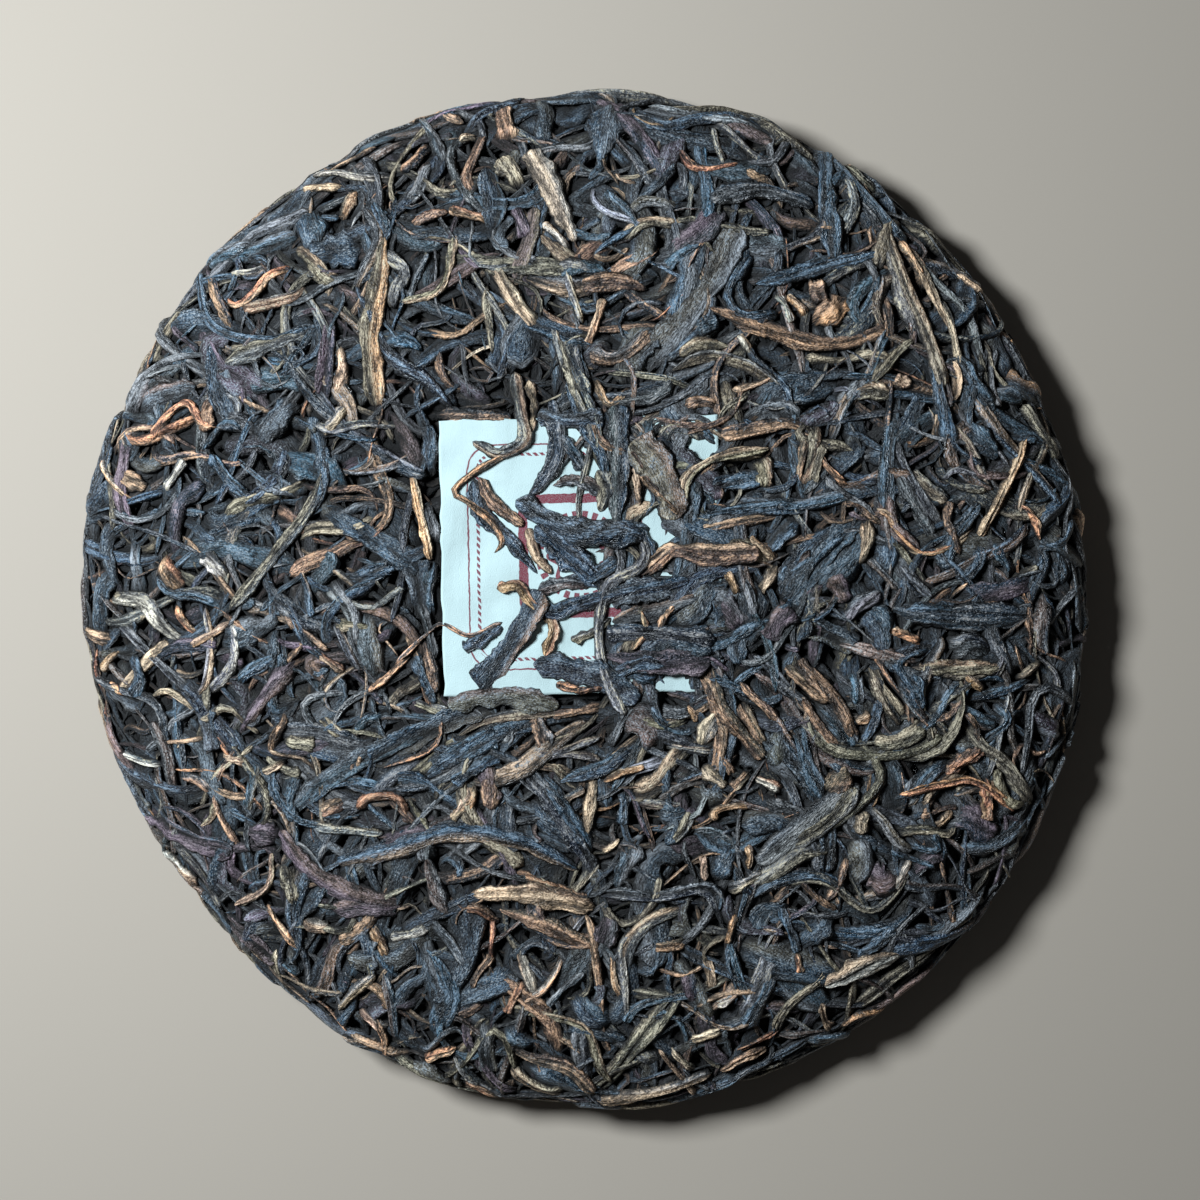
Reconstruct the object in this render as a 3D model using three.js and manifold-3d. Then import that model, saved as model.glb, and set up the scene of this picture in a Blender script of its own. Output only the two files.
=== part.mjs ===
// A pressed tea cake: one dense domed disc of twisted tea leaves, with a square paper ticket pressed
// into its face and partly buried under leaves. Millimetres, +Z up, resting on z = 0 face up, and
// centred on its own footprint.
import * as THREE from "three";
import Module from "manifold-3d";

const cake = {
  radius: 99.7, // half the width of the disc, before its leaves
  crownHeight: 24, // the dome's highest point above the table
  rimHeight: 8.4, // where the side bulges furthest out
  domePower: 2.4, // higher keeps the dome flat further out
  shoulderPower: 2.5, // higher is a squarer shoulder
  basePower: 9, // higher keeps the underside flat further out
  flatShare: 0.01, // how much of the base's curve is pressed flat on the table
  hollowRadius: 27, // the dimple that the knot of the pressing cloth leaves underneath
  hollowDepth: 8,
  leafBed: 0.7, // how far the packed core lies below the leaves that show
  bumps: 0.45, // unevenness of the core
  sectors: 40,
  faceRings: 11,
  faceRingSpread: 0.9, // below 1 sets the rings closer towards the rim
  baseRings: 8,
  baseRingSpread: 0.8,
  levelRings: 5, // rings of the underside that lie on the table itself, not below leaves
  mergeWithin: 0.02, // corners this close become one
};

// How the side's profile is cut into steps: the crown's steps grow outwards by a power
const profile = { steps: 160, crownSpacing: 2.2, slopeStep: 0.5 };

// The disc isn't quite round: [waves round the rim, depth, turn in degrees], and one flattened stretch
const outlineWaves = [[1, 0.0079, 156], [2, 0.0039, 175], [3, 0.0032, 248], [5, 0.0017, 308], [7, 0.0024, 111]];
const flattened = { depth: 0.04, atDegrees: 215, halfWidth: 26 };

const ticket = {
  width: 53.5,
  height: 53,
  thickness: 0.4,
  turnDegrees: 1.2,
  x: -1.2,
  y: 8.9,
  cells: 4, // squares along each side, which follow the dome
  gap: 0.32, // all round, to its pocket in the leaves
  margin: 2, // how far scattered leaves keep from it
};

// A leaf is a strip with a raised fold along it, pressed half into the cake
const leaf = {
  foldHeight: 0.58, // of the thinnest leaf
  foldPerWidth: 0.137, // how much higher it is for each millimetre of width
  fullness: 1.5, // higher keeps a leaf wide nearer to its ends
  taper: 0.6, // lower makes its ends blunter
  sink: 1.7, // how deep its root goes
  endSink: 0.5, // how deep its two ends go
  rootSpread: 1.5, // how much wider its root is than what shows
  edge: 0.1, // height of a lifted leaf's edges
  wander: 0.45, // how far the fold strays from the middle, as a share of the half width
  wanderStart: 6, // the range that the stray's start is drawn from, in radians
  wanderTurn: 4, // how far it turns along a leaf, in radians
  stationSpacing: 8.5,
  stations: [2, 7],
  overTicket: 0.78, // how far a leaf is lifted where it crosses the paper
};

// Places read from a photograph: its scale, the cake's middle, and how much nearer the crown was
const photo = { pixelsPerMm: 5.08, middleX: 587.5, middleY: 602, crownLooksLarger: 0.028 };

const scattered = {
  face: { count: 46, lengths: [15, 31], widths: [2.2, 4.4], fromRim: 8 },
  rim: { count: 24, lengths: [15, 30], widths: [2.6, 4.6], reach: 7, lean: 0.5 },
  base: { count: 16, lengths: [14, 26], widths: [2.4, 4.4], middleShare: 0.2, middle: 20, ring: [58, 4] },
  bow: 0.15, // how far a leaf bows at most, as a share of its length
};

const degree = Math.PI / 180;
const goldenTurn = Math.PI * (3 - Math.sqrt(5));

// A seeded random number from 0 to 1, the same on each run
let seed = 20311;
function random() {
  seed = (seed * 1664525 + 1013904223) % 4294967296;
  return seed / 4294967296;
}
const between = ([low, high]) => low + (high - low) * random();

// The rim's radius at an angle, as a share of the cake's radius
function outline(angle) {
  const waves = outlineWaves.reduce(
    (sum, [count, depth, turn]) => sum + depth * Math.cos(count * angle - turn * degree), 0);
  const turned = angle - flattened.atDegrees * degree;
  const away = Math.atan2(Math.sin(turned), Math.cos(turned)) / (flattened.halfWidth * degree);
  return 1 + waves - flattened.depth * Math.exp(-away * away);
}

// The face's profile as a superellipse arc: steepness 0 is the crown and a quarter turn is the rim
function facePoint(steepness) {
  const r = cake.radius * Math.sin(steepness) ** (2 / cake.domePower);
  const rise = Math.max(0, Math.cos(steepness)) ** (2 / cake.shoulderPower);
  return [r, cake.rimHeight + (cake.crownHeight - cake.rimHeight) * rise];
}

// The underside's profile: flat on the table, curling up to the rim, with a round hollow in the middle
function basePoint(steepness) {
  const r = cake.radius * Math.sin(steepness) ** (2 / cake.basePower);
  const curl = (1 - Math.cos(steepness) - cake.flatShare) / (1 - cake.flatShare);
  const hollow = r < cake.hollowRadius ? (1 + Math.cos(Math.PI * r / cake.hollowRadius)) / 2 : 0;
  return [r, cake.rimHeight * Math.max(0, curl) + cake.hollowDepth * hollow];
}

// A side of the cake, unrolled: the distance along its profile from the middle, out over the rim and on
function unrolled(near, far, upward) {
  const quarter = Math.PI / 2;
  const steps = profile.steps;
  const points = [];
  for (let i = 0; i <= steps; i++) points.push(near(quarter * (i / steps) ** profile.crownSpacing));
  for (let i = steps - 1; i >= steps / 2; i--) points.push(far(quarter * i / steps));
  const lengths = [0];
  for (let i = 1; i < points.length; i++) {
    const [r0, z0] = points[i - 1];
    const [r1, z1] = points[i];
    lengths.push(lengths[i - 1] + Math.hypot(r1 - r0, z1 - z0));
  }

  function at(list, values, wanted) {
    let i = 1;
    while (i < list.length - 1 && list[i] < wanted) i++;
    const share = (wanted - list[i - 1]) / Math.max(1e-9, list[i] - list[i - 1]);
    return values(i - 1).map((v, k) => v + (values(i)[k] - v) * share);
  }
  const profileAt = (length) => at(lengths, (i) => points[i], length);
  const plain = points.slice(0, steps + 1).map((p) => p[0]);

  return {
    toRim: lengths[steps],
    lengthAtRadius: (r) => at(plain, (i) => [lengths[i]], r)[0],
    // The point at (u, v) on the unrolled side and a height above it
    place(u, v, height) {
      const length = Math.max(1e-6, Math.hypot(u, v));
      const angle = Math.atan2(v, u) * upward;
      const [r, z] = profileAt(length);
      const [r0, z0] = profileAt(Math.max(0, length - profile.slopeStep));
      const [r1, z1] = profileAt(length + profile.slopeStep);
      const slope = Math.hypot(r1 - r0, z1 - z0) || 1;
      const out = upward * (z0 - z1) / slope;
      const up = upward * (r1 - r0) / slope;
      const radius = r * outline(angle) + height * out;
      return new THREE.Vector3(radius * Math.cos(angle), radius * Math.sin(angle), z + height * up);
    },
  };
}
const face = unrolled(facePoint, basePoint, 1);
const base = unrolled(basePoint, facePoint, -1);

// The place on the unrolled face of a point seen from above at plan position x, y
function onFace(x, y) {
  const angle = Math.atan2(y, x);
  const r = Math.hypot(x, y);
  const share = face.lengthAtRadius(Math.min(r / outline(angle), cake.radius)) / Math.max(r, 1e-6);
  return [x * share, y * share];
}

function fromPhoto([px, py]) {
  const x = (px - photo.middleX) / photo.pixelsPerMm;
  const y = (photo.middleY - py) / photo.pixelsPerMm;
  const inwards = 1 - Math.min(1, (x * x + y * y) / cake.radius ** 2);
  const scale = 1 - photo.crownLooksLarger * inwards;
  return onFace(x * scale, y * scale);
}

// A closed skin over rings of equal size, with a point to close each end
function skin(rings, firstPoint, lastPoint) {
  const size = rings[0].length;
  const points = [...rings.flat(), firstPoint, lastPoint];
  const first = points.length - 2;
  const last = points.length - 1;
  const faces = [];
  for (let k = 0; k < size; k++) {
    const next = (k + 1) % size;
    faces.push(first, k, next);
    for (let i = 0; i + 1 < rings.length; i++) {
      const a = i * size;
      const b = a + size;
      faces.push(a + k, b + k, a + next, a + next, b + k, b + next);
    }
    const end = (rings.length - 1) * size;
    faces.push(last, end + next, end + k);
  }
  return new THREE.BufferGeometry().setFromPoints(points).setIndex(faces);
}

const wasm = await Module();
wasm.setup();

function solidFrom(geometry) {
  const vertProperties = new Float32Array(geometry.getAttribute("position").array);
  const triVerts = new Uint32Array(geometry.index.array);
  return new wasm.Manifold(new wasm.Mesh({ numProp: 3, vertProperties, triVerts }));
}

function geometryFrom(solid) {
  const mesh = solid.getMesh();
  const geometry = new THREE.BufferGeometry();
  geometry.setAttribute("position", new THREE.BufferAttribute(mesh.vertProperties, mesh.numProp));
  return geometry.setIndex(new THREE.BufferAttribute(mesh.triVerts, 1));
}

// The packed core: rings from the crown out over the rim and back under, each a little uneven
function coreSolid() {
  const rings = [];
  const addRing = (side, length, depth, turn) => {
    const ring = [];
    for (let k = 0; k < cake.sectors; k++) {
      const angle = 2 * Math.PI * (k + turn) / cake.sectors * (side === face ? 1 : -1);
      const bump = depth > 0 ? cake.bumps * (2 * random() - 1) : 0;
      ring.push(side.place(length * Math.cos(angle), length * Math.sin(angle), bump - depth));
    }
    rings.push(ring);
  };
  for (let i = 1; i <= cake.faceRings; i++)
    addRing(face, face.toRim * (i / cake.faceRings) ** cake.faceRingSpread, cake.leafBed, 0.5 * (i % 2));
  for (let i = cake.baseRings - 1; i >= 1; i--) {
    const depth = i > cake.levelRings ? cake.leafBed : 0;
    addRing(base, base.toRim * (i / cake.baseRings) ** cake.baseRingSpread, depth, 0.5 * (i % 2));
  }
  return solidFrom(skin(rings, face.place(0, 0, -cake.leafBed), base.place(0, 0, 0)));
}

// A leaf along a route on a side: rings that swell from one pointed end and shrink to the other. The
// fold wanders across the leaf, as a twisted leaf's ridge does. A pressed-in leaf is a three-sided
// ridge, and a lifted one has an underside too.
function leafSolid(side, route, width, lift = 0) {
  const curve = new THREE.CatmullRomCurve3(route.map(([u, v]) => new THREE.Vector3(u, v, 0)));
  const wanted = Math.round(curve.getLength() / leaf.stationSpacing);
  const stations = THREE.MathUtils.clamp(wanted, ...leaf.stations);
  const fold = leaf.foldHeight + leaf.foldPerWidth * width;
  const phase = random() * leaf.wanderStart;
  const rings = [];
  for (let i = 1; i <= stations; i++) {
    const share = i / (stations + 1);
    const middle = curve.getPointAt(share);
    const along = curve.getTangentAt(share);
    const swell = Math.min(1, leaf.fullness * Math.sin(Math.PI * share) ** leaf.taper);
    const half = width / 2 * swell;
    const ridge = half * leaf.wander * Math.sin(phase + leaf.wanderTurn * share);
    const corner = (across, height) =>
      side.place(middle.x - along.y * across, middle.y + along.x * across, height);
    const top = corner(ridge, lift + fold * swell);
    rings.push(lift > 0
      ? [corner(-half, lift + leaf.edge), top, corner(half, lift + leaf.edge), corner(0, -leaf.sink)]
      : [corner(-half * leaf.rootSpread, -leaf.sink), top, corner(half * leaf.rootSpread, -leaf.sink)]);
  }
  const ends = [0, 1].map((share) => {
    const end = curve.getPointAt(share);
    return side.place(end.x, end.y, lift - leaf.endSink);
  });
  return solidFrom(skin(rings, ends[0], ends[1]));
}

// The ticket, or the pocket round it: a square sheet that follows the dome, both faces split alike
function sheetSolid(grow) {
  const cells = ticket.cells;
  const turn = ticket.turnDegrees * degree;
  const corner = (i, j, height) => {
    const a = (i / cells - 0.5) * (ticket.width + 2 * grow);
    const b = (j / cells - 0.5) * (ticket.height + 2 * grow);
    const x = ticket.x + a * Math.cos(turn) - b * Math.sin(turn);
    const y = ticket.y + a * Math.sin(turn) + b * Math.cos(turn);
    return face.place(...onFace(x, y), height);
  };
  const points = [];
  for (const height of [ticket.thickness / 2 + grow, -ticket.thickness / 2 - grow])
    for (let i = 0; i <= cells; i++)
      for (let j = 0; j <= cells; j++) points.push(corner(i, j, height));
  const row = cells + 1;
  const under = row * row;
  const faces = [];
  for (let i = 0; i < cells; i++) {
    for (let j = 0; j < cells; j++) {
      const a = i * row + j;
      const b = under + a;
      faces.push(a, a + row, a + row + 1, a, a + row + 1, a + 1);
      faces.push(b, b + row + 1, b + row, b, b + 1, b + row + 1);
    }
    const walls = [[i * row, (i + 1) * row], [(i + 1) * row + cells, i * row + cells],
      [i + 1, i], [cells * row + i, cells * row + i + 1]];
    for (const [a, b] of walls) faces.push(a, under + a, under + b, a, under + b, b);
  }
  return solidFrom(new THREE.BufferGeometry().setFromPoints(points).setIndex(faces));
}

// Leaves that stand out on the face: the midrib's route in the photograph's pixels, and the width in mm
const largeLeaves = [
  // upper left
  { width: 3.6, route: [[533, 156], [557, 202], [577, 251]] },
  { width: 3.8, route: [[378, 190], [385, 244], [366, 305], [382, 416]] },
  { width: 6, route: [[311, 250], [338, 246], [368, 246]] },
  { width: 3, route: [[213, 267], [251, 247], [301, 236]] },
  { width: 3, route: [[202, 274], [217, 328], [274, 343], [320, 328]] },
  { width: 4, route: [[228, 366], [274, 347], [313, 332]] },
  { width: 2.2, route: [[458, 228], [443, 290], [401, 305]] },
  { width: 2.2, route: [[225, 427], [190, 420], [159, 439], [129, 435]] },
  { width: 3, route: [[328, 466], [305, 519], [232, 611]] },
  { width: 5.4, route: [[324, 508], [366, 534], [424, 569]] },
  { width: 2.4, route: [[412, 473], [422, 519], [431, 561]] },
  { width: 3.6, route: [[557, 320], [577, 378], [592, 427]] },
  // upper right
  { width: 5, route: [[725, 228], [705, 290], [637, 366]] },
  { width: 3.6, route: [[707, 309], [774, 332], [832, 347], [889, 332]] },
  { width: 6.2, route: [[803, 311], [826, 312], [848, 308]] },
  { width: 3.2, route: [[878, 213], [897, 274], [927, 343], [943, 389]] },
  { width: 5.4, route: [[583, 144], [598, 125], [614, 108]] },
  { width: 4.4, route: [[709, 202], [759, 194], [813, 209]] },
  { width: 4.2, route: [[824, 163], [820, 205], [836, 263]] },
  { width: 3.2, route: [[755, 286], [805, 274], [882, 255]] },
  { width: 2.6, route: [[1027, 431], [1004, 485], [977, 538]] },
  { width: 5.2, route: [[866, 512], [828, 550], [790, 603]] },
  { width: 3.4, route: [[897, 477], [931, 538]] },
  { width: 3.6, route: [[660, 530], [732, 513], [820, 503]] },
  // lower left
  { width: 4.6, route: [[283, 822], [340, 770], [440, 725]] },
  { width: 6.2, route: [[445, 722], [520, 700], [610, 697]] },
  { width: 4.4, route: [[336, 862], [404, 843], [462, 828], [531, 843], [580, 870]] },
  { width: 3.3, route: [[470, 893], [531, 893], [596, 906]] },
  { width: 3.3, route: [[500, 908], [550, 924], [600, 950]] },
  { width: 5, route: [[282, 828], [309, 866], [358, 893], [404, 904]] },
  { width: 5.2, route: [[144, 805], [186, 835], [236, 851]] },
  { width: 2.2, route: [[274, 851], [270, 885], [236, 904]] },
  { width: 3.6, route: [[527, 774], [561, 816], [596, 874]] },
  // lower right
  { width: 4.4, route: [[855, 786], [828, 820], [778, 851]] },
  { width: 2.3, route: [[897, 793], [943, 782], [973, 780], [1012, 809]] },
  { width: 2.4, route: [[774, 885], [820, 878], [866, 908], [893, 889], [908, 855]] },
  { width: 3.4, route: [[598, 893], [656, 894], [709, 889], [725, 924]] },
  { width: 3.6, route: [[709, 663], [721, 705], [763, 759]] },
  { width: 4, route: [[797, 660], [835, 702], [855, 744]] },
  { width: 4, route: [[889, 606], [943, 617], [1027, 617]] },
  { width: 3.2, route: [[916, 667], [960, 669], [1000, 667]] },
  { width: 4, route: [[824, 981], [866, 962], [901, 954]] },
];

// Leaves that cross the ticket, listed the same way
const ticketLeaves = [
  { width: 3, route: [[515, 372], [521, 410], [526, 440], [501, 455], [473, 442]] },
  { width: 2.3, route: [[512, 452], [476, 472], [455, 497], [478, 506], [500, 543], [494, 556]] },
  { width: 2.9, route: [[474, 478], [482, 512], [515, 546], [538, 574]] },
  { width: 2.6, route: [[500, 470], [510, 524], [535, 553], [554, 573]] },
  { width: 4.2, route: [[516, 500], [563, 528], [599, 533], [650, 528]] },
  { width: 4.4, route: [[535, 526], [566, 553], [604, 589]] },
  { width: 2.4, route: [[494, 583], [522, 587], [543, 604], [553, 630], [545, 657]] },
  { width: 5.2, route: [[541, 590], [515, 640], [481, 690]] },
  { width: 3.6, route: [[533, 590], [552, 614], [579, 604], [619, 594], [690, 580]] },
  { width: 4.6, route: [[533, 664], [566, 668], [604, 678], [640, 700]] },
  { width: 2.6, route: [[617, 578], [602, 610], [602, 648], [609, 678], [626, 716]] },
  { width: 2.7, route: [[553, 400], [558, 444], [553, 469], [528, 498]] },
  { width: 2.3, route: [[576, 390], [591, 431], [589, 456], [579, 500], [580, 530]] },
  { width: 4, route: [[617, 405], [619, 456], [617, 535]] },
  { width: 6, route: [[635, 446], [665, 472], [683, 512]] },
  { width: 3, route: [[599, 440], [630, 454], [645, 482], [676, 515], [690, 560]] },
  { width: 3.4, route: [[683, 510], [686, 480], [716, 459], [770, 449]] },
  { width: 5, route: [[606, 634], [655, 633], [716, 640]] },
  { width: 5, route: [[604, 656], [655, 663], [711, 662]] },
  { width: 4.4, route: [[640, 575], [668, 552], [712, 556], [760, 553]] },
  { width: 2.2, route: [[395, 664], [426, 635], [443, 624], [471, 635], [503, 622]] },
  { width: 3, route: [[436, 414], [470, 415], [512, 418]] },
];

const placed = [
  ...largeLeaves.map(({ route, width }) => leafSolid(face, route.map(fromPhoto), width)),
  ...ticketLeaves.map(({ route, width }) => leafSolid(face, route.map(fromPhoto), width, leaf.overTicket)),
];

// True where a place on the face keeps clear of the paper
function clearOfTicket(x, y) {
  return Math.abs(x - ticket.x) > ticket.width / 2 + ticket.margin
    || Math.abs(y - ticket.y) > ticket.height / 2 + ticket.margin;
}

// A short bowed route about a middle point
function bowedRoute(u, v, heading, length, bow) {
  const along = [Math.cos(heading) * length / 2, Math.sin(heading) * length / 2];
  const aside = [-Math.sin(heading) * bow, Math.cos(heading) * bow];
  return [[u - along[0], v - along[1]], [u + aside[0], v + aside[1]], [u + along[0], v + along[1]]];
}

// Loose-looking leaves spread evenly over each side along a sunflower spiral
function scatter(side, kind, radiusAt, headingAt, allowed) {
  for (let i = 0; i < kind.count; i++) {
    const distance = radiusAt((i + 0.5) / kind.count);
    const angle = i * goldenTurn;
    const u = distance * Math.cos(angle);
    const v = distance * Math.sin(angle);
    const length = between(kind.lengths);
    const width = between(kind.widths);
    const route = bowedRoute(u, v, headingAt(angle), length, scattered.bow * length * (2 * random() - 1));
    if (route.every(([a, b]) => allowed(a, b))) placed.push(leafSolid(side, route, width));
  }
}
const anyHeading = () => Math.PI * random();
const alongRim = (angle) => angle + Math.PI / 2 + scattered.rim.lean * (2 * random() - 1);
const anywhere = () => true;

// Distances out from a side's middle: the first few leaves of the underside lie in its hollow and the
// rest between its flat ring and its rim
const overFace = (share) => (face.toRim - scattered.face.fromRim) * Math.sqrt(share);
const acrossRim = () => face.toRim + scattered.rim.reach * (2 * random() - 1);
function underneath(share) {
  const { middleShare, middle, ring } = scattered.base;
  const outermost = base.toRim - ring[1];
  return share < middleShare ? middle * share / middleShare : outermost - (outermost - ring[0]) * random();
}
scatter(face, scattered.face, overFace, anyHeading, clearOfTicket);
scatter(face, scattered.rim, acrossRim, alongRim, anywhere);
scatter(base, scattered.base, underneath, anyHeading, anywhere);

// The largest body is the cake: loose scraps and sealed hollows are dropped with the rest
function largestBody(solid) {
  return solid.decompose().sort((a, b) => b.volume() - a.volume())[0];
}

const pressed = wasm.Manifold.union([coreSolid(), ...placed])
  .subtract(sheetSolid(ticket.gap))
  .trimByPlane([0, 0, 1], 0);
const cakeGeometry = geometryFrom(largestBody(pressed).simplify(cake.mergeWithin));
const ticketGeometry = geometryFrom(sheetSolid(0));

// Centre the footprint on the origin
cakeGeometry.computeBoundingBox();
const middle = cakeGeometry.boundingBox.getCenter(new THREE.Vector3());
for (const geometry of [cakeGeometry, ticketGeometry]) {
  geometry.translate(-middle.x, -middle.y, 0);
  geometry.computeVertexNormals();
}

const leafMaterial = new THREE.MeshStandardMaterial({ color: 0x4a4c4f, roughness: 0.62, metalness: 0 });
const paperMaterial = new THREE.MeshStandardMaterial({ color: 0xd3f0f6, roughness: 0.85, metalness: 0 });

function namedMesh(name, geometry, material) {
  const mesh = new THREE.Mesh(geometry, material);
  mesh.name = name;
  return mesh;
}

const group = new THREE.Group();
group.add(namedMesh("tea_cake", cakeGeometry, leafMaterial));
group.add(namedMesh("paper_ticket", ticketGeometry, paperMaterial));

export default group;
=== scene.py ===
import bpy
import numpy as np
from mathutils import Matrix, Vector


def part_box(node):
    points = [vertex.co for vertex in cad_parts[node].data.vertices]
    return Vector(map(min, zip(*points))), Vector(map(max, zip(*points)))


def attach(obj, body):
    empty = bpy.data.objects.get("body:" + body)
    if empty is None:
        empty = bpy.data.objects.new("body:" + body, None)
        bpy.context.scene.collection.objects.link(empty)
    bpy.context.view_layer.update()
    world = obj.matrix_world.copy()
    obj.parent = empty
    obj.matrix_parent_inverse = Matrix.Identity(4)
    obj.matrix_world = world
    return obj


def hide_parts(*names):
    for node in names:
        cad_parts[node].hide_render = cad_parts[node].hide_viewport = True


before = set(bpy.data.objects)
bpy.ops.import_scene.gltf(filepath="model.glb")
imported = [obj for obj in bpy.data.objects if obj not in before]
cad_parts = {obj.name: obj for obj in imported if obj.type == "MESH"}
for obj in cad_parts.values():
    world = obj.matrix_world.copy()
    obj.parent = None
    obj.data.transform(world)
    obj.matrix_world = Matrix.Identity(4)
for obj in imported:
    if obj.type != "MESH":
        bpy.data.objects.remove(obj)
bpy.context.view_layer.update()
print("frame loaded")

random = np.random.default_rng(20311)
metre = 0.001            # lengths below are millimetres
mmPerUv = 100            # one unit of a UV map

# The same form as the solids: a domed disc, nearly round, flat underneath with a dimple
cake = {
    "radius": 99.7, "crownHeight": 24.0, "rimHeight": 8.4,
    "domePower": 2.4, "shoulderPower": 2.5, "basePower": 9.0, "flatShare": 0.01,
    "hollowRadius": 27.0, "hollowDepth": 8.0,
    "waves": [(1, 0.0079, 156), (2, 0.0039, 175), (3, 0.0032, 248), (5, 0.0017, 308),
              (7, 0.0024, 111)],
    "flatDepth": 0.04, "flatAt": 215, "flatHalfWidth": 26,
    "profileSteps": 160, "profileCrowding": 2.2,
}
ticket = {
    "width": 53.5, "height": 53.0, "turn": 1.2, "x": -1.2, "y": 8.9,
    "level": -0.3, "thickness": 0.12, "cells": 110, "follow": 0.5,
    "edgeWander": 0.22, "edgeKnots": 24, "edgeFade": 12, "smoothing": 1.6, "maskSteps": 400,
}
photo = {"pixelsPerMm": 5.08, "middleX": 587.5, "middleY": 602.0, "crownLooksLarger": 0.028}

ticketLow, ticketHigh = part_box("paper_ticket")
originShift = np.array([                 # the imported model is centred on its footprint
    (ticketLow.x + ticketHigh.x) / 2 - ticket["x"] * metre,
    (ticketLow.y + ticketHigh.y) / 2 - ticket["y"] * metre, 0.0])


# The rim's radius at an angle as a share: a circle plus a few cosine waves, less one flattened stretch
def outlineAt(angle):
    share = 1 + sum(depth * np.cos(count * angle - np.radians(turn)) for count, depth, turn in cake["waves"])
    gap = angle - np.radians(cake["flatAt"])
    away = np.arctan2(np.sin(gap), np.cos(gap)) / np.radians(cake["flatHalfWidth"])
    return share - cake["flatDepth"] * np.exp(-away * away)


# Superellipse arc of the face: r = R sin^(2/a), z = rim + (crown - rim) cos^(2/b)
def facePoint(steepness):
    r = cake["radius"] * np.sin(steepness) ** (2 / cake["domePower"])
    rise = np.maximum(0, np.cos(steepness)) ** (2 / cake["shoulderPower"])
    return r, cake["rimHeight"] + (cake["crownHeight"] - cake["rimHeight"]) * rise


# The underside: flat, curling up to the rim by 1 - cos, with a raised-cosine hollow in the middle
def basePoint(steepness):
    r = cake["radius"] * np.sin(steepness) ** (2 / cake["basePower"])
    curl = np.maximum(0, (1 - np.cos(steepness) - cake["flatShare"]) / (1 - cake["flatShare"]))
    hollow = np.where(r < cake["hollowRadius"], (1 + np.cos(np.pi * r / cake["hollowRadius"])) / 2, 0)
    return r, cake["rimHeight"] * curl + cake["hollowDepth"] * hollow


# A side unrolled: radius, height and surface normal as tables over the distance along the profile
def unrolled(near, far, upward):
    steps = cake["profileSteps"]
    share = np.linspace(0, 1, steps + 1)
    nearR, nearZ = near(np.pi / 2 * share ** cake["profileCrowding"])
    farR, farZ = far(np.pi / 2 * share[steps - 1:steps // 2 - 1:-1])
    r, z = np.append(nearR, farR), np.append(nearZ, farZ)
    length = np.append(0, np.cumsum(np.hypot(np.diff(r), np.diff(z))))
    reach = 0.5                          # the normal is taken over this distance each way
    ahead, behind = length + reach, np.maximum(0, length - reach)
    dr = np.interp(ahead, length, r) - np.interp(behind, length, r)
    dz = np.interp(ahead, length, z) - np.interp(behind, length, z)
    slope = np.maximum(np.hypot(dr, dz), 1e-9)
    return {"r": r, "z": z, "length": length, "out": -upward * dz / slope, "up": upward * dr / slope,
            "toRim": length[steps], "nearR": r[:steps + 1], "nearLength": length[:steps + 1],
            "upward": upward}


face = unrolled(facePoint, basePoint, 1)
base = unrolled(basePoint, facePoint, -1)


# The point at (u, v) on an unrolled side, raised along the surface normal by a height
def place(side, u, v, height):
    length = np.hypot(u, v)
    angle = np.arctan2(v, u) * side["upward"]
    r, z, out, up = (np.interp(length, side["length"], side[k]) for k in ("r", "z", "out", "up"))
    radius = r * outlineAt(angle) + height * out
    return np.stack([radius * np.cos(angle), radius * np.sin(angle), z + height * up], -1)


# Plan position to the unrolled face, and photograph pixels to the unrolled face
def onFace(x, y):
    r = np.maximum(np.hypot(x, y), 1e-6)
    plain = np.minimum(r / outlineAt(np.arctan2(y, x)), cake["radius"])
    share = np.interp(plain, face["nearR"], face["nearLength"]) / r
    return x * share, y * share


def fromPhoto(pixels):
    pixels = np.asarray(pixels, float)
    x = (pixels[..., 0] - photo["middleX"]) / photo["pixelsPerMm"]
    y = (photo["middleY"] - pixels[..., 1]) / photo["pixelsPerMm"]
    inwards = 1 - np.minimum(1, (x * x + y * y) / cake["radius"] ** 2)
    scale = 1 - photo["crownLooksLarger"] * inwards
    return np.stack(onFace(x * scale, y * scale), -1)


# Height map over an unrolled side: how high the leaves laid so far reach, cell by cell
chart = {"cell": 0.4, "half": 122.0, "finerAlong": 1.1, "finerAcross": 1.2}
chartSize = int(2 * chart["half"] / chart["cell"])
chartAxis = (np.arange(chartSize) + 0.5) * chart["cell"] - chart["half"]
chartU, chartV = np.meshgrid(chartAxis, chartAxis)


def chartCell(uv):
    index = ((uv + chart["half"]) / chart["cell"]).astype(int)
    index = np.clip(index, 0, chartSize - 1)
    return index[..., 1], index[..., 0]


def eased(share):
    return share * share * (3 - 2 * share)


# Smooth random field: noise on a coarse grid, blown up bilinearly
def smoothField(spacing):
    coarse = int(2 * chart["half"] / spacing) + 2
    knots = random.uniform(-1, 1, (coarse, coarse))
    at = (chartAxis + chart["half"]) / spacing
    low = at.astype(int)
    part = eased(at - low)
    rows = knots[low] * (1 - part[:, None]) + knots[low + 1] * part[:, None]
    return rows[:, low] * (1 - part) + rows[:, low + 1] * part


# Box blur of a map, repeated, which comes close to a Gaussian
def blurred(field, radius, times=3):
    reach = max(1, int(radius / chart["cell"]))
    for _ in range(times):
        for axis in (0, 1):
            padded = np.pad(field, [(reach + 1, reach) if a == axis else (0, 0) for a in (0, 1)], "edge")
            total = np.cumsum(padded, axis)
            width = 2 * reach + 1
            field = (np.take(total, np.arange(width, total.shape[axis]), axis)
                     - np.take(total, np.arange(total.shape[axis] - width), axis)) / width
    return field


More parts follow.
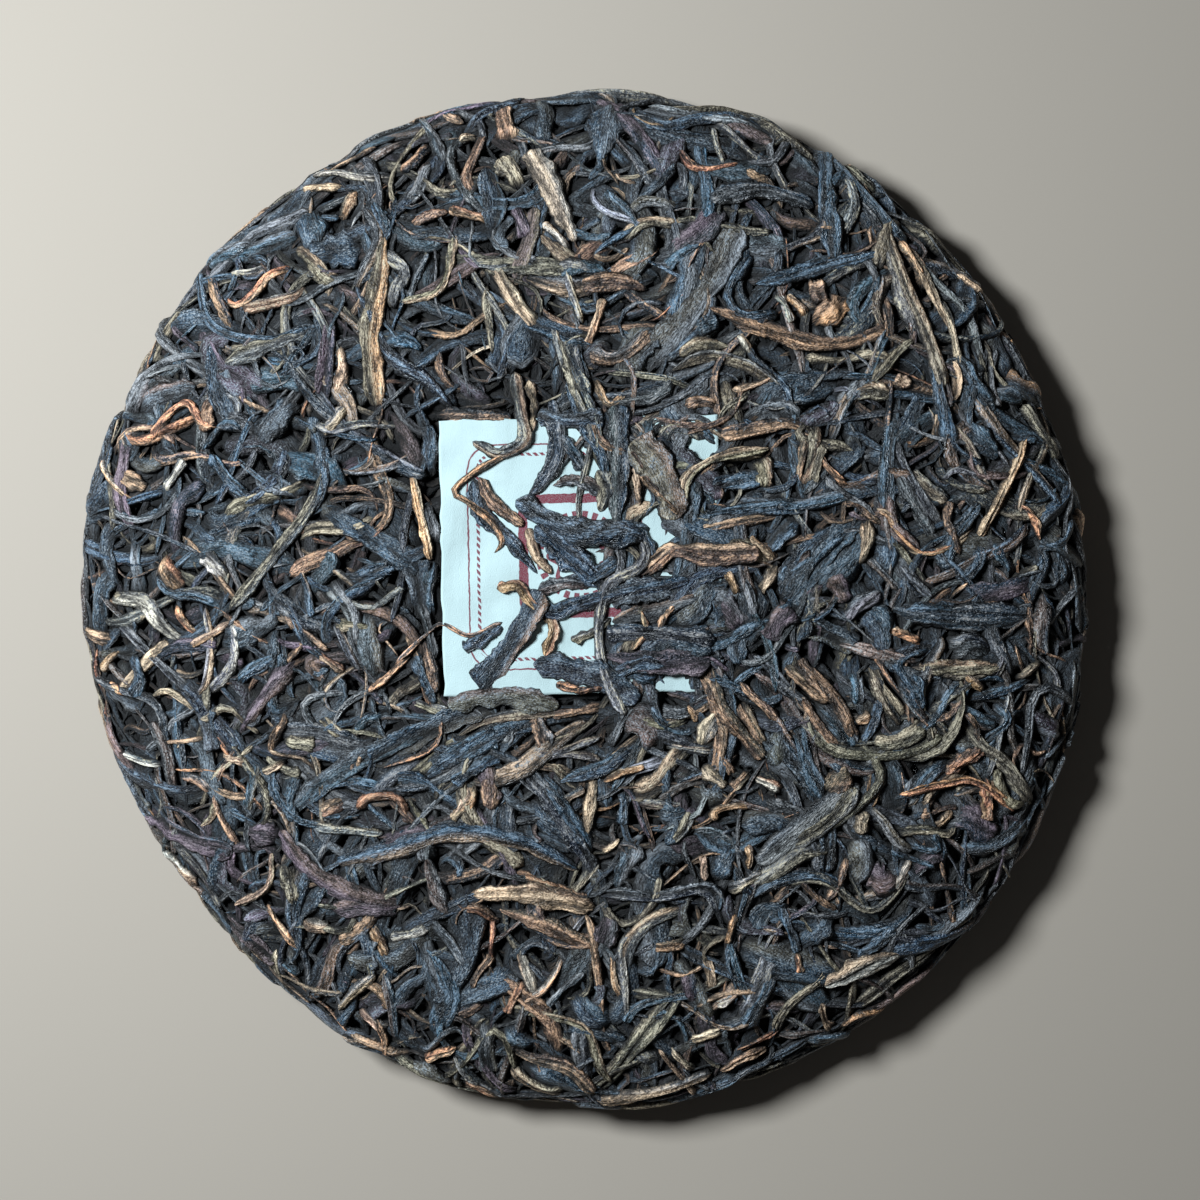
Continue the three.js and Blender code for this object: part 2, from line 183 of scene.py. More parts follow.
# True inside a polygon, by counting the edges that a ray to the right crosses
def insidePolygon(x, y, corners):
    inside = np.zeros(x.shape, bool)
    for (x0, y0), (x1, y1) in zip(corners, corners[1:] + corners[:1]):
        crosses = (y0 > y) != (y1 > y)
        inside ^= crosses & (x < (x1 - x0) * (y - y0) / (y1 - y0 + 1e-12) + x0)
    return inside


# Colours of the leaves, as seen in daylight
colours = {
    "ink": (22, 39, 52), "slate": (41, 58, 69), "charcoal": (52, 57, 62), "ash": (90, 92, 95),
    "plum": (60, 51, 59), "olive": (96, 87, 72), "moss": (74, 70, 60), "brown": (110, 87, 70),
    "bark": (78, 63, 56), "tan": (145, 122, 100), "straw": (154, 140, 118), "gold": (150, 115, 83),
    "rust": (128, 88, 68), "pale": (162, 156, 148), "soot": (18, 26, 38),
}


def linear(rgb):
    value = np.asarray(rgb, float) / 255
    return np.where(value <= 0.04045, value / 12.92, ((value + 0.055) / 1.055) ** 2.4)


# Kinds of leaf: share of the leaves, size ranges, and the tints with their weights
kinds = {
    "ink_twists": {
        "share": 32, "lengths": (14, 36), "widths": (1.2, 4.6), "thick": (0.24, 0.44), "pleats": (1.2, 2.8),
        "tints": {"ink": 6, "slate": 4, "soot": 2}, "second": {"slate": 4, "brown": 1, "tan": 0.6}},
    "charcoal_twists": {
        "share": 24, "lengths": (13, 36), "widths": (1.1, 4.5), "thick": (0.26, 0.46), "pleats": (1.2, 2.8),
        "tints": {"charcoal": 5, "soot": 1, "ash": 1, "bark": 2}, "second": {"ash": 2, "tan": 0.7, "ink": 3}},
    "broad_leaves": {
        "share": 15, "lengths": (13, 30), "widths": (3.8, 7.4), "thick": (0.14, 0.24), "pleats": (0.6, 1.9),
        "tints": {"ink": 5, "slate": 3, "charcoal": 3, "plum": 2}, "second": {"ash": 2, "moss": 2, "ink": 1}},
    "plum_leaves": {
        "share": 6, "lengths": (12, 30), "widths": (2.0, 4.6), "thick": (0.22, 0.4), "pleats": (1.2, 2.8),
        "tints": {"plum": 5, "bark": 2}, "second": {"ink": 2, "brown": 1}},
    "olive_leaves": {
        "share": 13, "lengths": (13, 36), "widths": (1.2, 5.0), "thick": (0.26, 0.48), "pleats": (1.4, 3.0),
        "tints": {"olive": 4, "moss": 5, "ash": 3}, "second": {"ink": 2, "straw": 1, "tan": 1}},
    "brown_leaves": {
        "share": 8, "lengths": (11, 32), "widths": (1.1, 4.4), "thick": (0.3, 0.5), "pleats": (1.4, 3.0),
        "tints": {"brown": 4, "bark": 4}, "second": {"ink": 2, "tan": 2}},
    "golden_tips": {
        "share": 4.5, "lengths": (9, 24), "widths": (0.9, 3.3), "thick": (0.34, 0.52), "pleats": (1.4, 2.8),
        "tints": {"tan": 5, "straw": 2, "gold": 1, "pale": 1}, "second": {"brown": 2, "charcoal": 1}},
    "rust_stems": {
        "share": 3, "lengths": (10, 28), "widths": (0.8, 1.5), "thick": (0.6, 0.8), "pleats": (0.8, 1.6),
        "tints": {"rust": 3, "brown": 3, "tan": 1}, "second": {"bark": 2, "tan": 1}},
}
kindNames = list(kinds)
ownPieces = {name: [name] for name in kindNames}
bladeKinds = ("broad_leaves", "plum_leaves")

# What a layer's rule says when it says nothing else
plainRule = {"lengthShare": 1.0, "widthShare": 1.0, "blades": 1.0, "only": None, "curls": 1.0,
             "ride": 0.3, "give": 0.6, "diveShare": 1.0, "lift": 0.0}

# What makes each leaf its own, as a spread about nothing, a chance, or a range: its size and colour,
# bends, drift of its pleats, tips, tilt, folds, ends that dive under their neighbours, how its
# two tones divide, and how strong the painted highlight just inside each edge is
character = {
    "sizeSkew": 1.4, "tintSpread": 0.42, "hueSpread": 0.035,
    "bend": 0.55, "sway": 0.6, "hookChance": 0.32, "hook": 1.6, "kinkChance": 0.3, "kink": 0.55,
    "kinkAt": (-0.6, 0.6), "wiggle": (0.02, 0.2), "drift": 1.2, "twistChance": 0.25, "twist": 3,
    "tipReach": (3.0, 11.0), "bluntChance": 0.25, "blunt": 2.2, "tips": (0.3, 0.85), "tilt": 0.22,
    "curl": (-0.14, 0.2), "fold": 0.3, "foldAt": (-0.5, 0.5), "pleatDepth": (0.25, 0.68),
    "diveChance": 0.75, "dive": (0.4, 2.2), "toneSplit": (-0.9, 1.8), "toneTurn": (-1.2, 1.2),
    "grainAt": (0, 400), "edgeHighlights": (-0.25, 1.1),
}


def weightedTints(weights, count):
    names = list(weights)
    chance = np.array([weights[n] for n in names], float)
    return linear([colours[n] for n in names])[random.choice(len(names), count, p=chance / chance.sum())]


# Draws the properties of leaves of mixed kinds, one array for each property. A size is its range's low
# end plus a random share, raised to a power, of the range
def drawLeaves(count, rule):
    names = rule["only"] or kindNames
    share = np.array([kinds[n]["share"] * (rule["blades"] if n in bladeKinds else 1) for n in names], float)
    kind = np.sort(random.choice(len(names), count, p=share / share.sum()))
    leaves = {"kind": np.array([kindNames.index(n) for n in names])[kind]}
    for key, source in (("length", "lengths"), ("width", "widths"), ("thick", "thick"), ("pleats", "pleats")):
        low, high = (np.array([kinds[n][source][end] for n in names])[kind] for end in (0, 1))
        leaves[key] = low + (high - low) * random.random(count) ** character["sizeSkew"]
    leaves["length"] = leaves["length"] * rule["lengthShare"]
    leaves["width"] = leaves["width"] * rule["widthShare"]
    tints, seconds = np.zeros((count, 3)), np.zeros((count, 3))
    for number, name in enumerate(names):
        own = kind == number
        tints[own] = weightedTints(kinds[name]["tints"], own.sum())
        seconds[own] = weightedTints(kinds[name]["second"], own.sum())
    leaves["tint"], leaves["second"] = tints, seconds
    return addCharacter(leaves)


# Draws every leaf's own character by the settings above; vary is the share of the tints' spread
def addCharacter(leaves, vary=1.0):
    count = len(leaves["length"])

    def some(chance):
        return random.random(count) < chance

    def spread(key):
        return random.normal(0, character[key], count)

    def ranged(key, shape=count):
        return random.uniform(*character[key], shape)

    leaves["tint"] = (leaves["tint"] * np.exp(random.normal(0, vary * character["tintSpread"], (count, 1)))
                      * np.exp(random.normal(0, character["hueSpread"], (count, 3))))
    leaves["bend"], leaves["sway"] = spread("bend"), spread("sway")
    for key in ("hook", "kink"):
        leaves[key] = np.where(some(character[key + "Chance"]), spread(key), 0)
    leaves["kinkAt"], leaves["wiggle"] = ranged("kinkAt"), ranged("wiggle")
    leaves["phase"] = random.uniform(0, 2 * np.pi, (count, 8))
    leaves["drift"] = spread("drift") * np.where(some(character["twistChance"]), character["twist"], 1)
    leaves["tipReach"] = ranged("tipReach", (count, 2))
    isBlunt = random.random((count, 2)) < character["bluntChance"]
    leaves["tipReach"] = leaves["tipReach"] * np.where(isBlunt, character["blunt"], 1)
    leaves["tips"] = ranged("tips", (count, 2))
    leaves["tilt"], leaves["curl"] = spread("tilt"), ranged("curl")
    leaves["fold"], leaves["foldAt"] = spread("fold"), ranged("foldAt")
    leaves["pleatDepth"] = ranged("pleatDepth")
    dives = random.random((count, 2)) < character["diveChance"]
    leaves["dive"] = np.where(dives, ranged("dive", (count, 2)), 0)
    leaves["toneSplit"], leaves["toneTurn"] = ranged("toneSplit"), ranged("toneTurn")
    leaves["grainAt"], leaves["edgeHighlights"] = ranged("grainAt", (count, 2)), ranged("edgeHighlights", (count, 2))
    return leaves


stationing = {"even": 0.55, "crowded": 0.45}


# Where the stations lie along a leaf, as shares of it: part even, part crowded to the ends by a cosine
def stationShares(stations):
    even = np.linspace(0, 1, stations + 2)[1:-1]
    return stationing["even"] * even + stationing["crowded"] * (1 - np.cos(np.pi * even)) / 2


wander = {"swayMiddle": 0.33, "hookFrom": 0.35, "hookPower": 1.5, "kinkSharpness": 7, "wiggles": 5}


# A drawn leaf's midrib: its heading turns along it by bend, sway, a hook near one end and a wiggle,
# and the heading is summed to positions, then centred on the leaf's middle
def wanderingPaths(leaves, middle, heading, stations):
    share = np.append(np.append(0, stationShares(stations)), 1)
    t = 2 * share - 1
    pick = lambda key: leaves[key][:, None]
    hook = np.clip(t - wander["hookFrom"], 0, 1) ** wander["hookPower"]
    kink = np.tanh(wander["kinkSharpness"] * (t - pick("kinkAt")))
    wiggle = np.sin(wander["wiggles"] * t + leaves["phase"][:, :1])
    turn = (pick("bend") * t + pick("sway") * (t * t - wander["swayMiddle"]) + pick("hook") * hook
            + pick("kink") * kink + pick("wiggle") * wiggle)
    angle = heading[:, None] + turn
    mid = (angle[:, 1:] + angle[:, :-1]) / 2
    step = pick("length") * np.diff(share)
    u = np.cumsum(np.pad(step * np.cos(mid), ((0, 0), (1, 0))), 1)
    v = np.cumsum(np.pad(step * np.sin(mid), ((0, 0), (1, 0))), 1)
    path = np.stack([u, v], -1)
    return path - path.mean(1, keepdims=True) + middle[:, None]


# A midrib through listed points: Catmull-Rom curves, then evened out by arc length
def routedPaths(routes, stations):
    share = np.append(np.append(0, stationShares(stations)), 1)
    stepsBetween = 12
    paths = []
    for route in routes:
        p = np.vstack([2 * route[0] - route[1], route, 2 * route[-1] - route[-2]])
        t = np.linspace(0, 1, stepsBetween)[None, :, None]
        a, b, c, d = (p[i:len(p) - 3 + i, None] for i in range(4))
        square, cube = 2 * a - 5 * b + 4 * c - d, 3 * b - a - 3 * c + d
        dense = 0.5 * (2 * b + (c - a) * t + square * t ** 2 + cube * t ** 3)
        dense = dense.reshape(-1, 2)
        along = np.append(0, np.cumsum(np.hypot(*np.diff(dense, axis=0).T)))
        paths.append(np.stack([np.interp(share * along[-1], along, dense[:, k]) for k in (0, 1)], -1))
    return np.array(paths)


# Random values over (leaf, station[, across]) that change slowly along the leaf
def slowNoise(shape, smoothing=1):
    values = random.normal(0, 1, shape)
    for _ in range(smoothing):
        values[:, 1:-1] = (values[:, :-2] + values[:, 1:-1] + values[:, 2:]) / 3 ** 0.5
    return values


# How a leaf's edges, back, pleats, crumples and shades are made, mostly as shares of its size, among
# them a painted shade along its edges and a painted highlight just inside them
surfaces = {
    "bodyLeast": 0.86, "bodySwell": 0.14, "bodyWaves": 6, "evenAcross": 0.85, "crowdedAcross": 0.15,
    "torn": 0.15, "pleatWander": 0.05, "pleatWaves": 6, "driftGain": 2.4, "slide": 0.4, "slideWaves": 8,
    "fineRatio": 2.3, "fineSlide": 1.7, "broadPleats": 0.72, "finePleats": 0.28, "pleatFade": 0.4,
    "backPower": 2.6, "backRound": 0.55, "roundUpTo": 2.4, "thickFade": 0.8, "fineCrumple": 0.05,
    "broadCrumple": 0.08, "curlLevel": 0.4, "foldLevel": 0.6, "tiltWaves": 4, "toneEdge": 2.2,
    "slowShade": 0.2, "fineShade": 0.09, "outline": 0.92, "outlinePower": 5.0, "highlightAt": 0.72,
    "highlightWidth": 0.16,
}


# The leaf's surface over (share along, across from -1 to 1). Half width = swell between two tips, with
# torn edges. Height = rounded back + pleats + crumples, where a pleat is |sin| of across plus a drift
# along, at two scales, so that its creases are sharp. Shade = random tone, times a painted shade at
# the very edges and a painted highlight in a band just inside them
def shapeLeaves(leaves, path, across):
    own = surfaces
    stations = path.shape[1] - 2
    count = len(path)
    share = stationShares(stations)
    middle = path[:, 1:-1]
    along = np.gradient(path, axis=1)[:, 1:-1]
    along = along / np.maximum(np.hypot(along[..., 0], along[..., 1])[..., None], 1e-9)
    aside = np.stack([-along[..., 1], along[..., 0]], -1)
    pick = lambda key: leaves[key][:, None]
    phase = leaves["phase"]

    swell = (np.minimum(1, leaves["tipReach"][:, :1] * share) ** leaves["tips"][:, :1]
             * np.minimum(1, leaves["tipReach"][:, 1:] * (1 - share)) ** leaves["tips"][:, 1:])
    swell = swell * (own["bodyLeast"] + own["bodySwell"] * np.sin(own["bodyWaves"] * share + phase[:, 1:2]))
    half = pick("width") / 2 * swell
    a = np.linspace(-1, 1, across)
    a = own["evenAcross"] * a + own["crowdedAcross"] * a ** 3
    torn = 1 + own["torn"] * slowNoise((count, stations, 2))
    edge = np.where(a < 0, torn[..., :1], torn[..., 1:])
    spread = a + own["pleatWander"] * np.sin(own["pleatWaves"] * a + phase[:, 3, None]) * (1 - a * a)
    spread = spread[:, None] * (1 + (edge - 1) * np.abs(a))
    uv = middle[:, :, None] + aside[:, :, None] * (half[..., None] * spread)[..., None]

    slide = (phase[:, 4:5] + pick("drift") * own["driftGain"] * share
             + own["slide"] * np.sin(own["slideWaves"] * share + phase[:, 5:6]))[..., None]
    pleats = leaves["pleats"][:, None, None]
    broad = np.abs(np.sin(np.pi / 2 * pleats * spread + slide))
    fine = np.abs(np.sin(np.pi / 2 * own["fineRatio"] * pleats * spread + own["fineSlide"] * slide))
    pleat = own["broadPleats"] * broad + own["finePleats"] * fine
    back = (1 - np.abs(a) ** own["backPower"]) ** own["backRound"]
    flatter = np.sqrt(own["roundUpTo"] / np.maximum(pick("width"), own["roundUpTo"]))
    thick = (pick("thick") * pick("width") * flatter * swell ** own["thickFade"])[..., None]
    deep = leaves["pleatDepth"][:, None, None]
    crumple = own["fineCrumple"] * slowNoise((count, stations, across))
    crumple = crumple + own["broadCrumple"] * slowNoise((count, stations, 1), 2)
    height = thick * ((1 - deep) * back + deep * pleat * back ** own["pleatFade"] + crumple * back)
    height = height + leaves["curl"][:, None, None] * half[..., None] * (a * a - own["curlLevel"])
    fromFold = np.abs(spread - leaves["foldAt"][:, None, None]) - own["foldLevel"]
    height = height - (pick("fold") * half)[..., None] * fromFold
    tilt = pick("tilt") * np.sin(own["tiltWaves"] * share + phase[:, 0:1])
    height = height + tilt[..., None] * half[..., None] * spread

    turned = pick("toneTurn")[..., None] * (2 * share[None, :, None] - 1)
    tone = np.clip(own["toneEdge"] * (spread + turned - pick("toneSplit")[..., None]) + 0.5, 0, 1)
    shade = np.exp(own["slowShade"] * slowNoise((count, stations, 1))
                   + own["fineShade"] * slowNoise((count, stations, across)))
    # Painted shade darkens the very edges of the leaf, and a painted highlight lightens a band just inside
    # each edge, by an amount drawn for each side
    highlightBand = np.exp(-((np.abs(a) - own["highlightAt"]) / own["highlightWidth"]) ** 2)
    highlightSide = np.where(a < 0, leaves["edgeHighlights"][:, :1], leaves["edgeHighlights"][:, 1:])[:, None]
    shade = shade * (1 - own["outline"] * np.abs(a) ** own["outlinePower"]) * (1 + highlightSide * highlightBand)
    return {"uv": uv, "height": height, "pleat": pleat * np.ones_like(height), "half": half, "tone": tone,
            "shade": shade, "thick": thick[..., 0], "share": share, "a": a, "path": path, "leaves": leaves}


bedding = {"stiffness": 3, "steepest": 0.5, "slopeShare": 0.6, "narrowest": 0.2, "endShare": 0.32,
           "restBelowTop": 0.4, "softness": 0.7}


# Lays shaped leaves on a bed: each station rests between the mean and the top of what is under it,
# stiffened along the leaf, the whole layer is pressed towards its own level, and ends may dive
def settle(bed, shape, rule):
    under = bed[chartCell(shape["uv"][:, :, ::2])]
    a = shape["a"][::2]
    mean, top = under.mean(-1), under.max(-1)
    rest = mean + rule["ride"] * (top - mean)
    slope = (under * a).sum(-1) / (a * a).sum() / np.maximum(shape["half"], bedding["narrowest"])
    for _ in range(bedding["stiffness"]):
        for line in (rest, slope):
            line[:, 1:-1] = (line[:, :-2] + 2 * line[:, 1:-1] + line[:, 2:]) / 4
    slope = np.clip(slope, -bedding["steepest"], bedding["steepest"]) * bedding["slopeShare"]
    if rule["level"] is not None:
        rest = rule["level"] + rule["give"] * (rest - rest.mean())
    rest = rest + rule["lift"]
    fromEnds = np.stack([shape["share"], 1 - shape["share"]])
    ends = eased(np.clip(1 - fromEnds / bedding["endShare"], 0, 1))
    rest = rest - rule["diveShare"] * (shape["leaves"]["dive"] @ ends)
    x = shape["a"] * shape["half"][..., None]
    raised = rest[..., None] + slope[..., None] * x
    shape["height"] = softCap(raised + shape["height"], rule["highest"])
    shape["rest"] = np.minimum(rest, rule["highest"] - bedding["restBelowTop"])
    stamp(bed, shape)
    return shape


# Nothing rises past the highest: what would is squeezed into the last part of a millimetre below it
def softCap(height, highest):
    soft = bedding["softness"]
    start = highest - soft
    over = np.maximum(0, height - start)
    return np.where(height > start, start + soft * over / (over + soft), height)


# Raises the bed to the leaves' tops, sampled a little finer than its cells
def stamp(bed, shape):
    uv, height = shape["uv"], shape["height"]
    stations, across = height.shape[1:]
    fineAlong = int(shape["leaves"]["length"].max() / chart["cell"] * chart["finerAlong"])
    fineAcross = int(shape["half"].max() * 2 / chart["cell"] * chart["finerAcross"]) + 2

    def weights(fine, coarse):
        at = np.linspace(0, coarse - 1, fine)
        return np.maximum(0, 1 - np.abs(at[:, None] - np.arange(coarse)))

    alongW, acrossW = weights(fineAlong, stations), weights(fineAcross, across)
    surface = np.concatenate([uv, height[..., None]], -1)
    dense = np.einsum("fs,nsac,ga->nfgc", alongW, surface, acrossW, optimize=True)
    row, column = chartCell(dense[..., :2])
    np.maximum.at(bed, (row.ravel(), column.ravel()), dense[..., 2].ravel())


# Faces of a closed tube: quads between its rings of points, and at each end triangles to an end point,
# where the two end points come after all the rings
def tubeFaces(rings, around):
    k = np.arange(around)
    nextK = (k + 1) % around
    start = (np.arange(rings - 1) * around)[:, None]
    corners = (start + k, start + around + k, start + around + nextK, start + nextK)
    last, points = (rings - 1) * around, rings * around
    tips = (np.stack([np.full(around, points), k, nextK], -1),
            np.stack([np.full(around, points + 1), last + nextK, last + k], -1))
    return np.stack(corners, -1).reshape(-1, 4), np.concatenate(tips)


# How a leaf is closed underneath, and how its shade falls with its depth in the cake
closing = {"across": 0.6, "thickShare": 0.35, "gap": 0.1, "clearance": 0.12, "tipShare": 0.1,
           "pleat": 0.2, "tipPleat": 0.5, "grainSpread": 1.25, "grainBelow": 1.2}
depthShade = {"deepest": -2.5, "shallow": 0.1, "darkest": 0.06, "power": 1.8}

waiting = {}             # leaf meshes waiting to be joined, by piece


# Closed tubes: at each station the top points run left to right and two points close it below;
# a tip closes each end
def keep(piece, side, shape, chosen, lowest=None):
    uv, height = shape["uv"][chosen], shape["height"][chosen]
    if not len(uv):
        return
    count, stations, across = height.shape
    half, rest, thick = shape["half"][chosen], shape["rest"][chosen], shape["thick"][chosen]
    middle = shape["path"][chosen][:, 1:-1]
    aside = (uv[:, :, -1] - uv[:, :, 0]) / np.maximum(2 * half, 1e-6)[..., None]
    belowSide = np.array([1, -1])
    belowA = closing["across"] * belowSide
    belowUv = middle[:, :, None] + aside[:, :, None] * (half[..., None] * belowA)[..., None]
    belowHeight = (rest - closing["thickShare"] * thick - closing["gap"])[..., None] * np.ones(2)
    belowHeight = np.minimum(belowHeight, height[..., [-1, 0]] - closing["clearance"])
    ringUv = np.concatenate([uv, belowUv], 2)
    ringHeight = np.concatenate([height, belowHeight], 2)
    tipUv = shape["path"][chosen][:, [0, -1]]
    tipHeight = rest[:, [0, -1]] + closing["tipShare"] * thick[:, [0, -1]]
    allUv = np.concatenate([ringUv.reshape(count, -1, 2), tipUv], 1)
    allHeight = np.concatenate([ringHeight.reshape(count, -1), tipHeight], 1)
    points = place(side, allUv[..., 0], allUv[..., 1], allHeight)
    if lowest is not None:
        points[..., 2] = np.maximum(points[..., 2], lowest)

    def aroundRing(values):
        ringed = np.concatenate([values[chosen], values[chosen][:, :, [-1, 0]]], 2)
        return np.concatenate([ringed.reshape(count, -1), ringed[:, [0, -1], across // 2]], 1)[..., None]

    leaves = {k: v[chosen] for k, v in shape["leaves"].items()}
    tone = aroundRing(shape["tone"])
    depth = (allHeight - depthShade["deepest"]) / (depthShade["shallow"] - depthShade["deepest"])
    lit = np.clip(depth, 0, 1) ** depthShade["power"]
    lit = depthShade["darkest"] + (1 - depthShade["darkest"]) * lit
    tint = leaves["tint"][:, None] * (1 - tone) + leaves["second"][:, None] * tone
    # The shade carries the leaf's random tone together with its painted edge shade and painted edge highlight
    # into the tint
    tint = tint * aroundRing(shape["shade"])
    pleat = np.concatenate([shape["pleat"][chosen], np.full((count, stations, 2), closing["pleat"])], 2)
    pleat = np.concatenate([pleat.reshape(count, -1), np.full((count, 2), closing["tipPleat"])], 1)
    alongMm = leaves["length"][:, None] * shape["share"]
    grainA = np.concatenate([shape["a"] * closing["grainSpread"], belowA + closing["grainBelow"] * belowSide])
    ringX = (half[..., None] * grainA).reshape(count, -1)
    grainX = np.concatenate([ringX, np.zeros((count, 2))], 1) + leaves["grainAt"][:, :1]
    grainY = [np.repeat(alongMm, across + 2, 1), np.zeros((count, 1)), leaves["length"][:, None]]
    grainY = np.concatenate(grainY, 1) + leaves["grainAt"][:, 1:]

    quads, tips = tubeFaces(stations, across + 2)
    offset = (np.arange(count) * (stations * (across + 2) + 2))[:, None, None]
    waiting.setdefault(piece, []).append({
        "uv": allUv.reshape(-1, 2), "height": allHeight.ravel(), "upward": side["upward"],
        "points": points.reshape(-1, 3), "quads": (quads + offset).reshape(-1, 4),
        "tris": (tips + offset).reshape(-1, 3), "tint": tint.reshape(-1, 3), "lit": lit.ravel(),
        "pleat": pleat.ravel(), "grain": np.stack([grainX, grainY], -1).reshape(-1, 2)})


def addObject(name, data):
    thing = bpy.data.objects.new(name, data)
    bpy.context.scene.collection.objects.link(thing)
    return thing


# Puts arrays into a mesh object: loops and polygons by foreach_set, in metres
def meshObject(name, points, quads, tris, material):
    mesh = bpy.data.meshes.new(name)
    corners = np.concatenate([quads.ravel(), tris.ravel()]).astype(np.int32)
    starts = np.concatenate([np.arange(len(quads)) * 4, len(quads) * 4 + np.arange(len(tris)) * 3])
    starts = starts.astype(np.int32)
    mesh.vertices.add(len(points))
    mesh.vertices.foreach_set("co", (points * metre + originShift).astype(np.float32).ravel())
    mesh.loops.add(len(corners))
    mesh.loops.foreach_set("vertex_index", corners)
    mesh.polygons.add(len(starts))
    mesh.polygons.foreach_set("loop_start", starts)
    mesh.update(calc_edges=True)
    mesh.polygons.foreach_set("use_smooth", np.ones(len(starts), bool))
    mesh.materials.append(material)
    return addObject(name, mesh)


def addUv(mesh, name, perPoint):
    corner = np.empty(len(mesh.loops), np.int32)
    mesh.loops.foreach_get("vertex_index", corner)
    mesh.uv_layers.new(name=name).data.foreach_set("uv", perPoint[corner].astype(np.float32).ravel())


# Painted shade and painted light: leaves are darkened where they lie below the mean height about them,
# in the crevices, and lightened above it
crevices = {"reach": 1.0, "level": 0.98, "slope": 1.15, "darkest": 0.05, "lightest": 1.6}


# Joins all waiting leaves of a piece into one mesh with its tint, light, pleat and grain
def joinLeaves(piece, material, levels):
    parts = waiting.pop(piece)
    for part in parts:
        # Painted crevice shade below the mean height about a point and painted light above it, multiplied
        # into lit
        above = part["height"] - levels[part["upward"]][chartCell(part["uv"])]
        lit = crevices["level"] + crevices["slope"] * above
        part["lit"] = np.clip(lit, crevices["darkest"], crevices["lightest"]) * part["lit"]
    sizes = np.cumsum([0] + [len(p["points"]) for p in parts])[:-1]
    joined = {k: np.concatenate([p[k] for p in parts]) for k in ("points", "tint", "lit", "pleat", "grain")}
    quads = np.concatenate([p["quads"] + s for p, s in zip(parts, sizes)])
    tris = np.concatenate([p["tris"] + s for p, s in zip(parts, sizes)])
    thing = meshObject(piece, joined["points"], quads, tris, material)
    mesh = thing.data
    tint = np.concatenate([joined["tint"], np.ones((len(joined["tint"]), 1))], 1)
    tint = tint.astype(np.float32).ravel()
    mesh.attributes.new("tint", "FLOAT_COLOR", "POINT").data.foreach_set("color", tint)
    for name in ("lit", "pleat"):
        mesh.attributes.new(name, "FLOAT", "POINT").data.foreach_set("value", joined[name].astype(np.float32))
    addUv(mesh, "grain", joined["grain"] / mmPerUv)
    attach(thing, "root")
    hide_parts("tea_cake")
    print(piece, 2 * len(quads) + len(tris), "triangles")


def newMaterial(name):
    material = bpy.data.materials.new(name)
    material.use_nodes = True
    return material, material.node_tree, material.node_tree.nodes["Principled BSDF"]


# A new node with its settings set and its inputs, named or numbered, linked or given a value
def addNode(tree, kind, settings=None, **inputs):
    node = tree.nodes.new(kind)
    for key, value in (settings or {}).items():
        setattr(node, key, value)
    for key, value in inputs.items():
        connect(tree, node, key.replace("_", " "), value)
    return node


def connect(tree, node, key, value):
    socket = node.inputs[int(key)] if key.isdigit() else node.inputs[key]
    if isinstance(value, bpy.types.NodeSocket):
        tree.links.new(value, socket)
    else:
        socket.default_value = value


def calc(tree, operation, *values, clamp=False):
    node = addNode(tree, "ShaderNodeMath", {"operation": operation, "use_clamp": clamp})
    for number, value in enumerate(values):
        connect(tree, node, str(number), value)
    return node.outputs[0]


def mixColour(tree, blend, factor, first, second):
    node = addNode(tree, "ShaderNodeMix", {"data_type": "RGBA", "blend_type": blend})
    for number, value in (("0", factor), ("6", first), ("7", second)):     # the colour mix's own sockets
        connect(tree, node, number, value)
    return node.outputs[2]


# Short names for a tree's maths nodes: sum, difference and product
def maths(tree):
    def plus(*values, **options):
        return calc(tree, "ADD", *values, **options)

    def minus(*values, **options):
        return calc(tree, "SUBTRACT", *values, **options)

    def times(*values, **options):
        return calc(tree, "MULTIPLY", *values, **options)

    return plus, minus, times


# Noises of a leaf's surface: how its grain is stretched, then scale, detail and roughness
grains = {
    "fibres": ((2.2, 0.2, 1), 70.0, 3.0, 0.56), "fine": ((2.4, 1.4, 1), 150.0, 2.0, 0.65),
    "folds": ((1.5, 0.2, 1), 75.0, 1.5, 0.55), "wrinkles": ((1.5, 0.8, 1), 58.0, 2.0, 0.5),
    "mottle": ((1.0, 0.6, 1), 36.0, 2.5, 0.6), "specks": ((1.5, 1.0, 1), 210.0, 2.0, 0.7),
}
gains = {"fibres": 3.0, "fine": 2.8, "mottle": 2.4, "crease": 24.0, "wrinkles": 6.0, "specks": 7.0,
         "speckEdge": 0.7, "speckSpread": 0.25}
relief = {"fibres": 0.12, "fine": 0.14, "wrinkles": 0.3, "crease": 0.25}


